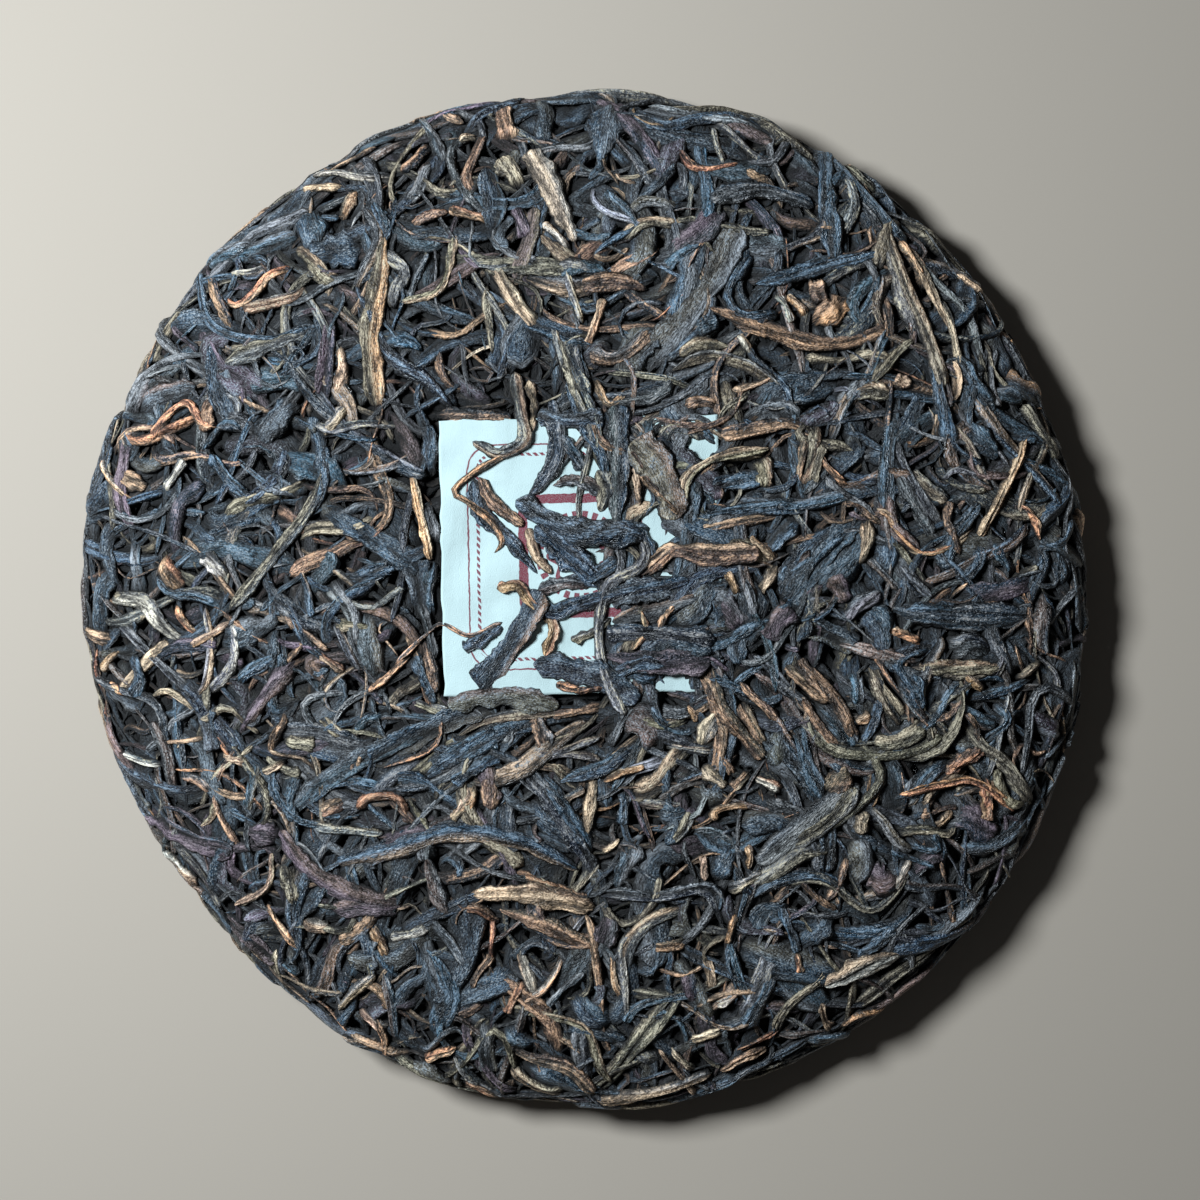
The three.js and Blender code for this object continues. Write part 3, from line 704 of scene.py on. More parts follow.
# Dried leaf surface: lengthwise fibres, wrinkles across, and a mottle of pale dust specks. Fibres and
# mottle are noises stretched about their middle; creases and wrinkles go by a noise's distance from it
def fibreGroup():
    group = bpy.data.node_groups.new("driedLeaf", "ShaderNodeTree")
    plus, minus, times = maths(group)
    for name, kind in (("Grain", "NodeSocketVector"), ("Fibre Scale", "NodeSocketFloat"),
                       ("Speck Amount", "NodeSocketFloat")):
        group.interface.new_socket(name=name, in_out="INPUT", socket_type=kind)
    outputs = ("Fibres", "Fine", "Specks", "Height", "Mottle", "Crease", "Wrinkles")
    for name in outputs:
        group.interface.new_socket(name=name, in_out="OUTPUT", socket_type="NodeSocketFloat")
    inside = group.nodes.new("NodeGroupInput")
    outside = group.nodes.new("NodeGroupOutput")
    vector, scale = inside.outputs["Grain"], inside.outputs["Fibre Scale"]

    def noise(name):
        stretch, size, detail, rough = grains[name]
        mapped = addNode(group, "ShaderNodeMapping", Vector=vector, Scale=stretch).outputs[0]
        return addNode(group, "ShaderNodeTexNoise", {"noise_dimensions": "2D"}, Vector=mapped,
                       Scale=times(scale, size), Detail=detail, Roughness=rough).outputs[0]

    def stretched(name):
        return plus(times(minus(noise(name), 0.5), gains[name]), 0.5, clamp=True)

    def fromMiddle(name):
        return calc(group, "ABSOLUTE", minus(noise(name), 0.5))

    fibres, fine, mottle = stretched("fibres"), stretched("fine"), stretched("mottle")
    crease = minus(1.0, times(fromMiddle("folds"), gains["crease"]), clamp=True)
    wrinkles = times(fromMiddle("wrinkles"), gains["wrinkles"], clamp=True)
    edge = minus(gains["speckEdge"], times(inside.outputs["Speck Amount"], gains["speckSpread"]))
    dust = times(minus(noise("specks"), edge), gains["specks"], clamp=True)
    height = plus(times(fine, relief["fine"]), times(wrinkles, relief["wrinkles"]))
    height = plus(times(fibres, relief["fibres"]), height)
    height = minus(height, times(crease, relief["crease"]))
    for name, value in zip(outputs, (fibres, fine, dust, height, mottle, crease, wrinkles)):
        group.links.new(value, outside.inputs[name])
    return group


driedLeaf = fibreGroup()


# One dry leaf material: the leaf's own tint with painted shade in its creases and painted light on its
# ridges, turning to a pale painted highlight where that light is strongest, with pale dust specks, and
# multiplied at the end by the painted light and shade of its depth and crevices
def leafMaterial(name, look):
    material, tree, shader = newMaterial(name)
    plus, minus, times = maths(tree)
    grain = addNode(tree, "ShaderNodeUVMap", {"uv_map": "grain"}).outputs[0]
    surface = addNode(tree, "ShaderNodeGroup", {"node_tree": driedLeaf}, Grain=grain,
                      Fibre_Scale=look["fibreScale"], Speck_Amount=look["specks"]).outputs
    tint = addNode(tree, "ShaderNodeAttribute", {"attribute_name": "tint"}).outputs["Color"]
    pleat = addNode(tree, "ShaderNodeAttribute", {"attribute_name": "pleat"}).outputs["Fac"]
    lit = addNode(tree, "ShaderNodeAttribute", {"attribute_name": "lit"}).outputs["Fac"]

    # Painted light on the pleats' ridges and painted shade in their creases, times the noises of the fibres,
    # fine grain, mottle and wrinkles
    light = plus(look["creaseLight"], times(pleat, look["ridgeLight"]))
    for output, amount in (("Fibres", look["fibreContrast"]), ("Fine", look["fineContrast"]),
                           ("Mottle", look["mottle"]), ("Wrinkles", look["wrinkles"])):
        light = times(light, plus(1 - amount / 2, times(surface[output], amount)))
    # Painted shade along the noise's thin crease lines
    light = times(light, minus(1.0, times(surface["Crease"], look["creaseShade"])))
    light = calc(tree, "POWER", light, look["contrast"])
    shaded = mixColour(tree, "MULTIPLY", 1.0, tint, calc(tree, "MINIMUM", light, look["brightest"]))
    # Painted highlight: where the painted light runs past a threshold, the colour turns towards a pale sheen
    # colour
    wearAndSheen = times(minus(light, look["sheenFrom"]), look["sheen"], clamp=True)
    coloured = mixColour(tree, "MIX", wearAndSheen, shaded, (*linear(look["sheenColour"]), 1))
    dusty = times(surface["Specks"], times(surface["Mottle"], look["dust"]), clamp=True)
    dusted = mixColour(tree, "MIX", dusty, coloured, (*linear(look["dustColour"]), 1))
    finished = mixColour(tree, "MULTIPLY", 1.0, dusted, times(lit, look["gain"]))
    tree.links.new(finished, shader.inputs["Base Color"])

    rough = plus(look["roughness"], times(minus(surface["Fibres"], 0.5), look["fibreRoughness"]))
    duller = times(minus(1.0, lit, clamp=True), look["deepRoughness"])
    tree.links.new(plus(rough, duller, clamp=True), shader.inputs["Roughness"])
    shader.inputs["Specular IOR Level"].default_value = look["shine"]
    bump = addNode(tree, "ShaderNodeBump", Height=surface["Height"], Strength=look["bump"],
                   Distance=look["bumpDepth"])
    tree.links.new(bump.outputs[0], shader.inputs["Normal"])
    return material


plainLook = {
    "fibreScale": 1.0, "specks": 0.5, "creaseLight": 0.06, "ridgeLight": 1.4, "fibreContrast": 0.42,
    "fineContrast": 0.75, "mottle": 1.0, "wrinkles": 0.5, "creaseShade": 0.45, "contrast": 1.9,
    "brightest": 1.5, "gain": 1.5, "sheenFrom": 0.7, "sheen": 0.3, "sheenColour": (132, 126, 118),
    "dust": 1.0, "dustColour": (156, 158, 160), "roughness": 0.46, "fibreRoughness": 0.35,
    "deepRoughness": 0.5, "shine": 0.6, "bump": 1.0, "bumpDepth": 0.0007,
}
# What each piece's look changes in the plain one
looks = {
    "ink_twists": {
        "roughness": 0.38, "shine": 0.8, "sheenColour": (90, 106, 120), "dustColour": (140, 148, 156)},
    "charcoal_twists": {"roughness": 0.42, "shine": 0.7, "sheenColour": (116, 114, 112)},
    "broad_leaves": {
        "sheen": 0.25, "specks": 0.7, "bump": 0.9, "creaseLight": 0.6, "ridgeLight": 0.6,
        "fibreContrast": 0.14, "fineContrast": 0.9, "creaseShade": 0.3, "sheenColour": (90, 102, 112),
        "dustColour": (134, 140, 144)},
    "plum_leaves": {
        "roughness": 0.55, "sheen": 0.25, "specks": 0.6, "creaseLight": 0.5, "ridgeLight": 0.8,
        "fibreContrast": 0.18, "fineContrast": 0.9, "creaseShade": 0.3, "sheenColour": (112, 100, 104),
        "dustColour": (136, 124, 128)},
    "olive_leaves": {
        "roughness": 0.5, "creaseLight": 0.22, "ridgeLight": 1.15, "fibreContrast": 0.3,
        "creaseShade": 0.35, "sheenColour": (150, 142, 122), "dustColour": (170, 160, 140)},
    "brown_leaves": {
        "roughness": 0.5, "creaseLight": 0.32, "ridgeLight": 0.98, "fibreContrast": 0.26,
        "creaseShade": 0.3, "sheenColour": (178, 142, 112), "dustColour": (170, 146, 124)},
    "golden_tips": {
        "roughness": 0.55, "gain": 1.36, "creaseLight": 0.4, "ridgeLight": 0.85, "wrinkles": 0.35,
        "fibreContrast": 0.22, "creaseShade": 0.2, "sheenColour": (188, 166, 140),
        "dustColour": (190, 172, 148)},
    "rust_stems": {"roughness": 0.55, "sheenColour": (196, 144, 106), "dustColour": (186, 148, 118)},
    "fill_leaves": {"roughness": 0.6, "sheen": 0.2},
    "underside_leaves": {"roughness": 0.5},
    "underside_broad": {"roughness": 0.55, "sheen": 0.2},
}

scatter = {"jitter": 0.48, "flowSpacing": 38.0, "flowTurn": np.pi * 1.5, "freeSpread": 0.75,
           "rimSpread": 0.3, "calmer": 0.25, "inset": 1.5, "gapWide": 4.0, "gapFine": 0.6}


# Leaves' middles on a jittered, turned grid over a disc, in random order
def scatterMiddles(spacing, outer):
    line = np.arange(-outer, outer + spacing, spacing)
    gridU, gridV = np.meshgrid(line, line)
    shift = random.uniform(-spacing / 2, spacing / 2, 2)
    middle = np.stack([gridU.ravel(), gridV.ravel()], -1) + shift
    turn = random.uniform(0, np.pi)
    cosT, sinT = np.cos(turn), np.sin(turn)
    middle = middle @ np.array([[cosT, -sinT], [sinT, cosT]])
    middle = middle + random.uniform(-scatter["jitter"], scatter["jitter"], middle.shape) * spacing
    middle = middle[np.hypot(middle[:, 0], middle[:, 1]) < outer]
    return middle[random.permutation(len(middle))]


# Each leaf's heading: by a slow field of directions, but along the rim the nearer it lies to the rim
def headings(middle, rimAt, rimWidth, flow):
    angle = np.arctan2(middle[:, 1], middle[:, 0])
    distance = np.hypot(middle[:, 0], middle[:, 1])
    count = len(middle)
    free = scatter["flowTurn"] * flow[chartCell(middle)] + random.normal(0, scatter["freeSpread"], count)
    tangent = angle + np.pi / 2 * random.choice([-1, 1], count)
    tangent = tangent + random.normal(0, scatter["rimSpread"], count)
    nearRim = np.clip((distance - (rimAt - rimWidth)) / rimWidth, 0, 1)
    follows = random.random(count) < nearRim
    return np.where(follows, tangent, free), follows


# Middles where the bed lies lower than its surroundings by at least a depth
def gapMiddles(bed, spacing, outer, depth):
    middle = scatterMiddles(spacing, outer)
    sunk = blurred(bed, scatter["gapWide"]) - blurred(bed, scatter["gapFine"], 1)
    return middle[sunk[chartCell(middle)] > depth]


# Lays random leaves about their middles on a side and keeps their meshes. Leaves that follow the rim
# bend by their length over their distance from the middle, and those that touch closed cells stay out
def layLeaves(side, bed, middle, rule, closed=None, lowest=None, pieceFor=ownPieces):
    rule = {**plainRule, **rule}
    flow = smoothField(scatter["flowSpacing"])
    heading, follows = headings(middle, side["toRim"], rule["rimWidth"], flow)
    leaves = drawLeaves(len(middle), rule)
    order = random.permutation(len(middle))
    leaves = {k: v[order] for k, v in leaves.items()}
    distance = np.maximum(np.hypot(middle[:, 0], middle[:, 1]), 1)
    turnWay = np.sign(np.sin(heading - np.arctan2(middle[:, 1], middle[:, 0])))
    rimBend = scatter["calmer"] * leaves["bend"] + turnWay * leaves["length"] / distance / 2
    leaves["bend"] = np.where(follows, rimBend, leaves["bend"])
    for key in ("sway", "hook", "kink"):
        leaves[key] = np.where(follows, scatter["calmer"], rule["curls"]) * leaves[key]
    path = wanderingPaths(leaves, middle, heading, rule["stations"])
    reach = np.hypot(path[..., 0], path[..., 1]).max(1)
    allowed = reach < side["length"][-1] - scatter["inset"]
    if closed is not None:
        trialAcross = 5
        covers = closed[chartCell(shapeLeaves(leaves, path, trialAcross)["uv"])]
        allowed &= ~(covers.reshape(len(middle), -1).any(1) | closed[chartCell(path)].any(1))
    leaves = {k: v[allowed] for k, v in leaves.items()}
    shape = settle(bed, shapeLeaves(leaves, path[allowed], rule["across"]), rule)
    for piece, names in pieceFor.items():
        keep(piece, side, shape, np.isin(leaves["kind"], [kindNames.index(n) for n in names]), lowest)


def layLayer(side, bed, rule, closed=None, **options):
    layLeaves(side, bed, scatterMiddles(rule["spacing"], rule["outer"]), rule, closed, **options)


# The camera looks straight down, half a metre above the rim
camera = {"aboveRim": 500.0, "rimPlane": 10.0, "frameWidth": 236.2, "sensor": 36.0, "x": 2.46, "y": 0.39,
          "clip": (0.01, 20)}


def addCamera():
    data = bpy.data.cameras.new("camera")
    data.sensor_width = camera["sensor"]
    data.lens = camera["sensor"] * camera["aboveRim"] / camera["frameWidth"]
    data.clip_start, data.clip_end = camera["clip"]
    thing = addObject("camera", data)
    thing.location = (camera["x"] * metre + originShift[0], camera["y"] * metre + originShift[1],
                      (camera["aboveRim"] + camera["rimPlane"]) * metre)
    bpy.context.scene.camera = thing


# Soft daylight: a cool key from the upper left, a weak fill, a pale surround and a matt floor, in metres
studio = {
    "key": {"at": (-0.29, 0.14, 0.42), "size": 0.15, "power": 4.95, "colour": (0.84, 0.93, 1.0)},
    "fill": {"at": (0.6, -0.5, 0.8), "size": 1.2, "power": 0.12, "colour": (1.0, 0.97, 0.94)},
    "surround": {"colour": (0.86, 0.93, 1.0), "strength": 0.03},
    "floor": {"colour": (168, 158, 146), "half": 3.0, "roughness": 0.9},
}


def addLight(name, look):
    data = bpy.data.lights.new(name, "AREA")
    data.shape = "DISK"
    data.size, data.energy, data.color = look["size"], look["power"], look["colour"]
    thing = addObject(name, data)
    thing.location = look["at"]
    thing.rotation_euler = (-Vector(look["at"])).to_track_quat("-Z", "Y").to_euler()


def addStudio():
    addLight("key", studio["key"])
    addLight("fill", studio["fill"])
    world = bpy.data.worlds.new("surround")
    world.use_nodes = True
    background = world.node_tree.nodes["Background"]
    background.inputs["Color"].default_value = (*studio["surround"]["colour"], 1)
    background.inputs["Strength"].default_value = studio["surround"]["strength"]
    bpy.context.scene.world = world
    bpy.context.scene.view_settings.view_transform = "Standard"
    look = studio["floor"]
    low, high = -look["half"], look["half"]
    mesh = bpy.data.meshes.new("floor")
    mesh.from_pydata([(low, low, 0), (high, low, 0), (high, high, 0), (low, high, 0)], [], [(0, 1, 2, 3)])
    material, _, shader = newMaterial("paleFloor")
    shader.inputs["Base Color"].default_value = (*linear(look["colour"]), 1)
    shader.inputs["Roughness"].default_value = look["roughness"]
    mesh.materials.append(material)
    addObject("floor", mesh)


addCamera()
addStudio()
print("camera and lights")

core = {
    "level": -3.7, "bumps": 0.5, "underLevel": -2.2, "underBumps": 0.4, "bumpSpacing": 4.0,
    "rimLevel": -2.6, "rimBlend": 12.0, "sectors": 160, "faceRings": 80, "baseRings": 60, "pole": 1e-6,
    "dark": (18, 18, 19), "light": (52, 48, 44), "noiseScale": 900.0, "noiseDetail": 4.0, "roughness": 0.85,
}


# The core's finish: a mottle between near black and dark brown, under all the leaves
def dustMaterial():
    material, tree, shader = newMaterial("darkCore")
    coordinates = addNode(tree, "ShaderNodeTexCoord").outputs["Object"]
    noise = addNode(tree, "ShaderNodeTexNoise", Vector=coordinates, Scale=core["noiseScale"],
                    Detail=core["noiseDetail"]).outputs[0]
    dark, light = (*linear(core["dark"]), 1), (*linear(core["light"]), 1)
    tree.links.new(mixColour(tree, "MIX", noise, dark, light), shader.inputs["Base Color"])
    shader.inputs["Roughness"].default_value = core["roughness"]
    return material


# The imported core: both sides' surfaces lowered by the core's level and roughened, closed at the poles
def addCore():
    sectors = core["sectors"]
    turn = 2 * np.pi * np.arange(sectors) / sectors
    rings = []
    for side, count, depth in ((face, core["faceRings"], core["level"]),
                               (base, core["baseRings"], core["underLevel"])):
        length = side["toRim"] * (np.arange(1, count + 1) / count)
        u = length[:, None] * np.cos(turn * side["upward"])
        v = length[:, None] * np.sin(turn * side["upward"])
        ease = np.clip((side["toRim"] - length) / core["rimBlend"], 0, 1)[:, None]
        level = depth * ease + core["rimLevel"] * (1 - ease)
        ring = place(side, u, v, random.uniform(-1, 1, u.shape) * core["bumps"] + level)
        rings.append(ring if side is face else ring[-2::-1])
    ringPoints = np.concatenate(rings)
    poles = np.array([place(face, core["pole"], 0, core["level"]),
                      place(base, core["pole"], 0, core["underLevel"])])
    points = np.concatenate([ringPoints.reshape(-1, 3), poles])
    thing = meshObject("packed_core", points, *tubeFaces(len(ringPoints), sectors), dustMaterial())
    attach(thing, "root")
    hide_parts("tea_cake")


addCore()
print("core")

# Where the paper stays open to view, in the photograph's pixels, with the small gaps on its right
openWindow = [(437, 413), (520, 414), (560, 424), (588, 470), (610, 500), (590, 560), (600, 600),
              (596, 640), (590, 664), (600, 693), (446, 696), (439, 600), (436, 500)]
smallGaps = [(697, 444, 6), (706, 450, 6), (680, 681, 6), (670, 680, 4), (572, 440, 7), (578, 455, 6),
             (650, 528, 7), (656, 548, 8), (658, 562, 5), (614, 628, 6), (622, 626, 5), (584, 686, 6)]


# Chart cells' places in the photograph: the crown looks larger because it is nearer the camera
def photoOfChart():
    length = np.hypot(chartU, chartV)
    angle = np.arctan2(chartV, chartU)
    r = np.interp(length, face["length"], face["r"]) * outlineAt(angle)
    nearer = 1 + photo["crownLooksLarger"] * (1 - np.minimum(1, (r / cake["radius"]) ** 2))
    px = photo["middleX"] + photo["pixelsPerMm"] * nearer * r * np.cos(angle)
    py = photo["middleY"] - photo["pixelsPerMm"] * nearer * r * np.sin(angle)
    return px, py


# Cells that later scattered leaves keep clear of
def windowMask():
    px, py = photoOfChart()
    mask = insidePolygon(px, py, openWindow)
    for x, y, reach in smallGaps:
        mask |= np.hypot(px - x, py - y) < reach
    return mask


closed = windowMask()
bed = core["level"] + core["bumps"] * smoothField(core["bumpSpacing"])
faceOuter = face["toRim"] + 6.0            # leaves' middles reach a little round the rim
fillPieces = {"fill_leaves": kindNames}
lowerLayers = [
    {"spacing": 8.8, "outer": faceOuter, "stations": 7, "across": 5, "level": -3.0, "rimWidth": 14,
     "highest": 0.5},
    {"spacing": 8.8, "outer": faceOuter, "stations": 7, "across": 5, "level": -2.3, "rimWidth": 14,
     "highest": 0.8, "blades": 3},
]
for rule in lowerLayers:
    layLayer(face, bed, rule, pieceFor=fillPieces)
print("lower layers")


# The paper ticket: a square sheet on plan, laid on the bed's smoothed relief, with its print drawn by
# distances in millimetres from the paper's middle
def addTicket():
    cells = ticket["cells"]
    line = np.linspace(-0.5, 0.5, cells + 1)
    turn = np.radians(ticket["turn"])

    def onSheet(a, b):
        x = ticket["x"] + a * np.cos(turn) - b * np.sin(turn)
        y = ticket["y"] + a * np.sin(turn) + b * np.cos(turn)
        return onFace(x, y)

    def ragged():
        knots = ticket["edgeKnots"]
        drift = np.interp(line, np.linspace(-0.5, 0.5, knots), random.uniform(-1, 1, knots))
        return drift * ticket["edgeWander"]

    a, b = np.meshgrid(line * ticket["width"], line * ticket["height"], indexing="ij")
    fade = np.abs(2 * line) ** ticket["edgeFade"]
    sideways = np.where(line < 0, ragged(), ragged())[None, :] * fade[:, None] * np.sign(line)[:, None]
    lengthways = ragged()[:, None] * fade[None, :] * np.sign(line)[None, :]
    a, b = a + sideways, b + lengthways
    u, v = onSheet(a, b)
    smooth = blurred(bed, ticket["smoothing"])
    lumps = smooth[chartCell(np.stack([u, v], -1))]
    height = ticket["level"] + ticket["follow"] * (lumps - lumps.mean())
    upper = place(face, u, v, height + ticket["thickness"])
    lower = place(face, u, v, height)
    n = cells + 1
    index = np.arange(n * n).reshape(n, n)
    low = index + n * n
    top = np.stack([index[:-1, :-1], index[1:, :-1], index[1:, 1:], index[:-1, 1:]], -1).reshape(-1, 4)
    under = np.stack([low[:-1, :-1], low[:-1, 1:], low[1:, 1:], low[1:, :-1]], -1).reshape(-1, 4)
    loop = np.concatenate([index[:-1, 0], index[-1, :-1], index[:0:-1, -1], index[0, :0:-1]])
    after = np.roll(loop, -1)
    wall = np.stack([loop, loop + n * n, after + n * n, after], -1)
    points = np.concatenate([upper.reshape(-1, 3), lower.reshape(-1, 3)])
    quads = np.concatenate([top, under, wall])
    thing = meshObject("ticket_sheet", points, quads, np.zeros((0, 3), int), paperMaterial())
    flat = np.stack([a, b], -1).reshape(-1, 2)
    addUv(thing.data, "paper", np.concatenate([flat, flat]) / mmPerUv)
    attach(thing, "root")
    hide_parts("paper_ticket")

    mask = np.zeros(bed.shape, bool)
    fine = np.linspace(-0.5, 0.5, ticket["maskSteps"])
    cellAt = onSheet(*np.meshgrid(fine * ticket["width"], fine * ticket["height"]))
    mask[chartCell(np.stack(cellAt, -1))] = True
    sheet = ticket["level"] + ticket["follow"] * (smooth - lumps.mean()) + ticket["thickness"]
    bed[mask] = sheet[mask]


# The generic print, in millimetres: a frame, a dashed line inside it, and a figure of a petalled ring,
# rays and an eye in a square
printed = {
    "frame": 21.5, "corner": 5.0, "line": 0.42, "dashInset": 1.9, "dashLine": 0.75, "dashLength": 1.3,
    "dashGap": 0.35, "dashEdge": 8.0, "seal": 11.0, "sealCorner": 2.4, "sealLine": 1.9, "ring": 5.2,
    "ringLine": 1.2, "petals": 8, "petalDepth": 0.9, "rays": 7.9, "rayLine": 1.5, "rayCount": 26,
    "rayWidth": 0.3, "rayEdge": 3.0, "eye": 1.7, "eyeEdge": 4.0, "edge": 9.0, "wander": 0.5,
    "inkLeast": 0.62, "inkFibre": 0.6, "ink": (112, 34, 50), "paper": (182, 203, 203),
}
paper = {"wanderNoise": (60.0, 2.0), "fibreNoise": (420.0, 4.0), "cloudNoise": (14.0, 3.0),
         "shadeLeast": 0.9, "shadeGain": 0.1, "roughness": 0.78, "fibreRoughness": 0.15, "shine": 0.3,
         "cloudRelief": 3.0, "bump": 0.5, "bumpDepth": 0.0002}


def paperMaterial():
    material, tree, shader = newMaterial("ticketPaper")
    plus, minus, times = maths(tree)
    flat = addNode(tree, "ShaderNodeUVMap", {"uv_map": "paper"}).outputs[0]
    split = addNode(tree, "ShaderNodeSeparateXYZ", Vector=flat)
    x, y = (times(split.outputs[number], float(mmPerUv)) for number in (0, 1))

    def paperNoise(key):
        scale, detail = paper[key]
        return addNode(tree, "ShaderNodeTexNoise", {"noise_dimensions": "2D"}, Vector=flat, Scale=scale,
                       Detail=detail).outputs[0]

    def size(value):
        return calc(tree, "ABSOLUTE", value)

    def larger(first, second):
        return calc(tree, "MAXIMUM", first, second)

    def hypotenuse(first, second):
        return calc(tree, "SQRT", plus(times(first, first), times(second, second)))

    shake = times(minus(paperNoise("wanderNoise"), 0.5), printed["wander"])

    def roundedBox(reach, corner):
        inner = reach - corner
        outside = hypotenuse(larger(minus(size(x), inner), 0.0), larger(minus(size(y), inner), 0.0))
        inside = calc(tree, "MINIMUM", minus(larger(size(x), size(y)), inner), 0.0)
        return plus(minus(plus(outside, inside), corner), shake)

    def stroke(distance, width):
        return times(minus(width / 2, size(distance)), printed["edge"], clamp=True)

    frameDistance = roundedBox(printed["frame"], printed["corner"])
    border = stroke(frameDistance, printed["line"])
    dashAt = calc(tree, "FRACT", calc(tree, "DIVIDE", plus(x, y), printed["dashLength"]))
    dashes = times(minus(dashAt, printed["dashGap"]), printed["dashEdge"], clamp=True)
    dashRow = times(stroke(plus(frameDistance, printed["dashInset"]), printed["dashLine"]), dashes)
    seal = stroke(roundedBox(printed["seal"], printed["sealCorner"]), printed["sealLine"])
    radius = hypotenuse(x, y)
    angle = calc(tree, "ARCTAN2", y, x)
    petals = times(calc(tree, "COSINE", times(angle, printed["petals"])), printed["petalDepth"])
    ring = stroke(minus(minus(radius, petals), printed["ring"]), printed["ringLine"])
    rayWave = calc(tree, "COSINE", times(angle, printed["rayCount"]))
    spokes = times(plus(rayWave, printed["rayWidth"]), printed["rayEdge"], clamp=True)
    rays = times(stroke(minus(radius, printed["rays"]), printed["rayLine"]), spokes)
    eye = times(minus(printed["eye"], radius), printed["eyeEdge"], clamp=True)
    motif = larger(larger(rays, eye), ring)
    ink = larger(larger(border, dashRow), larger(seal, motif))

    fibre, cloud = paperNoise("fibreNoise"), paperNoise("cloudNoise")
    wearAndSheen = times(ink, plus(printed["inkLeast"], times(fibre, printed["inkFibre"])), clamp=True)
    shade = plus(paper["shadeLeast"], times(plus(fibre, cloud), paper["shadeGain"]))
    sheet = mixColour(tree, "MULTIPLY", 1.0, (*linear(printed["paper"]), 1), shade)
    inked = mixColour(tree, "MIX", wearAndSheen, sheet, (*linear(printed["ink"]), 1))
    tree.links.new(inked, shader.inputs["Base Color"])
    rough = plus(paper["roughness"], times(fibre, paper["fibreRoughness"]))
    tree.links.new(rough, shader.inputs["Roughness"])
    shader.inputs["Specular IOR Level"].default_value = paper["shine"]
    height = plus(fibre, times(cloud, paper["cloudRelief"]))
    bump = addNode(tree, "ShaderNodeBump", Height=height, Strength=paper["bump"], Distance=paper["bumpDepth"])
    tree.links.new(bump.outputs[0], shader.inputs["Normal"])
    return material


addTicket()
print("ticket")

cover = {"spacing": 3.3, "stations": 10, "across": 7, "level": None, "rimWidth": 0.1, "highest": 1.3,
         "lengthShare": 0.6, "widthShare": 0.9, "lift": -0.1, "diveShare": 0.25,
         "passes": 4, "bareBelow": 0.15, "shorter": 0.78, "reach": 60.0,
         "only": ["ink_twists", "charcoal_twists", "broad_leaves", "plum_leaves", "olive_leaves"]}
coveredPart = [(566, 408), (728, 408), (732, 700), (604, 700), (600, 650), (606, 600), (596, 560),
               (616, 500), (594, 470)]


# The paper's right part lies under leaves: each pass lays shorter ones where the paper is still bare
def coverTicket():
    inside = insidePolygon(*photoOfChart(), coveredPart)
    sheet = bed.copy()
    for number in range(cover["passes"]):
        bare = inside & (bed - sheet < cover["bareBelow"])
        middle = scatterMiddles(cover["spacing"], cover["reach"])
        rule = {**cover, "lengthShare": cover["lengthShare"] * cover["shorter"] ** number}
        layLeaves(face, bed, middle[bare[chartCell(middle)]], rule, closed)


coverTicket()

upperLayers = [
    {"spacing": 8.2, "outer": faceOuter, "stations": 12, "across": 7, "level": -1.5, "rimWidth": 14,
     "highest": 1.3, "blades": 6},
    {"spacing": 8.4, "outer": faceOuter, "stations": 15, "across": 9, "level": -0.8, "rimWidth": 14,
     "highest": 1.4, "blades": 1.6},
    {"spacing": 12.5, "outer": faceOuter, "stations": 15, "across": 9, "level": -0.45, "rimWidth": 12,
     "highest": 1.5},
]
filler = {"spacing": 3.4, "stations": 7, "across": 6, "level": None, "rimWidth": 10, "highest": 0.9,
          "lengthShare": 0.6, "widthShare": 0.5, "lift": 0.1, "diveShare": 0.25, "gapDepth": 0.75,
          "lastSpacing": 4.4}
strands = {"spacing": 15.0, "outer": faceOuter, "stations": 16, "across": 5, "level": -0.3, "rimWidth": 12,
           "highest": 1.5, "widthShare": 0.5, "curls": 1.8,
           "only": ["charcoal_twists", "olive_leaves", "brown_leaves", "rust_stems"]}


def fillGaps(spacing):
    layLeaves(face, bed, gapMiddles(bed, spacing, faceOuter, filler["gapDepth"]), filler, closed)


for rule in upperLayers:
    layLayer(face, bed, rule, closed)
    fillGaps(filler["spacing"])
layLayer(face, bed, strands, closed)
fillGaps(filler["lastSpacing"])
print("upper layers")
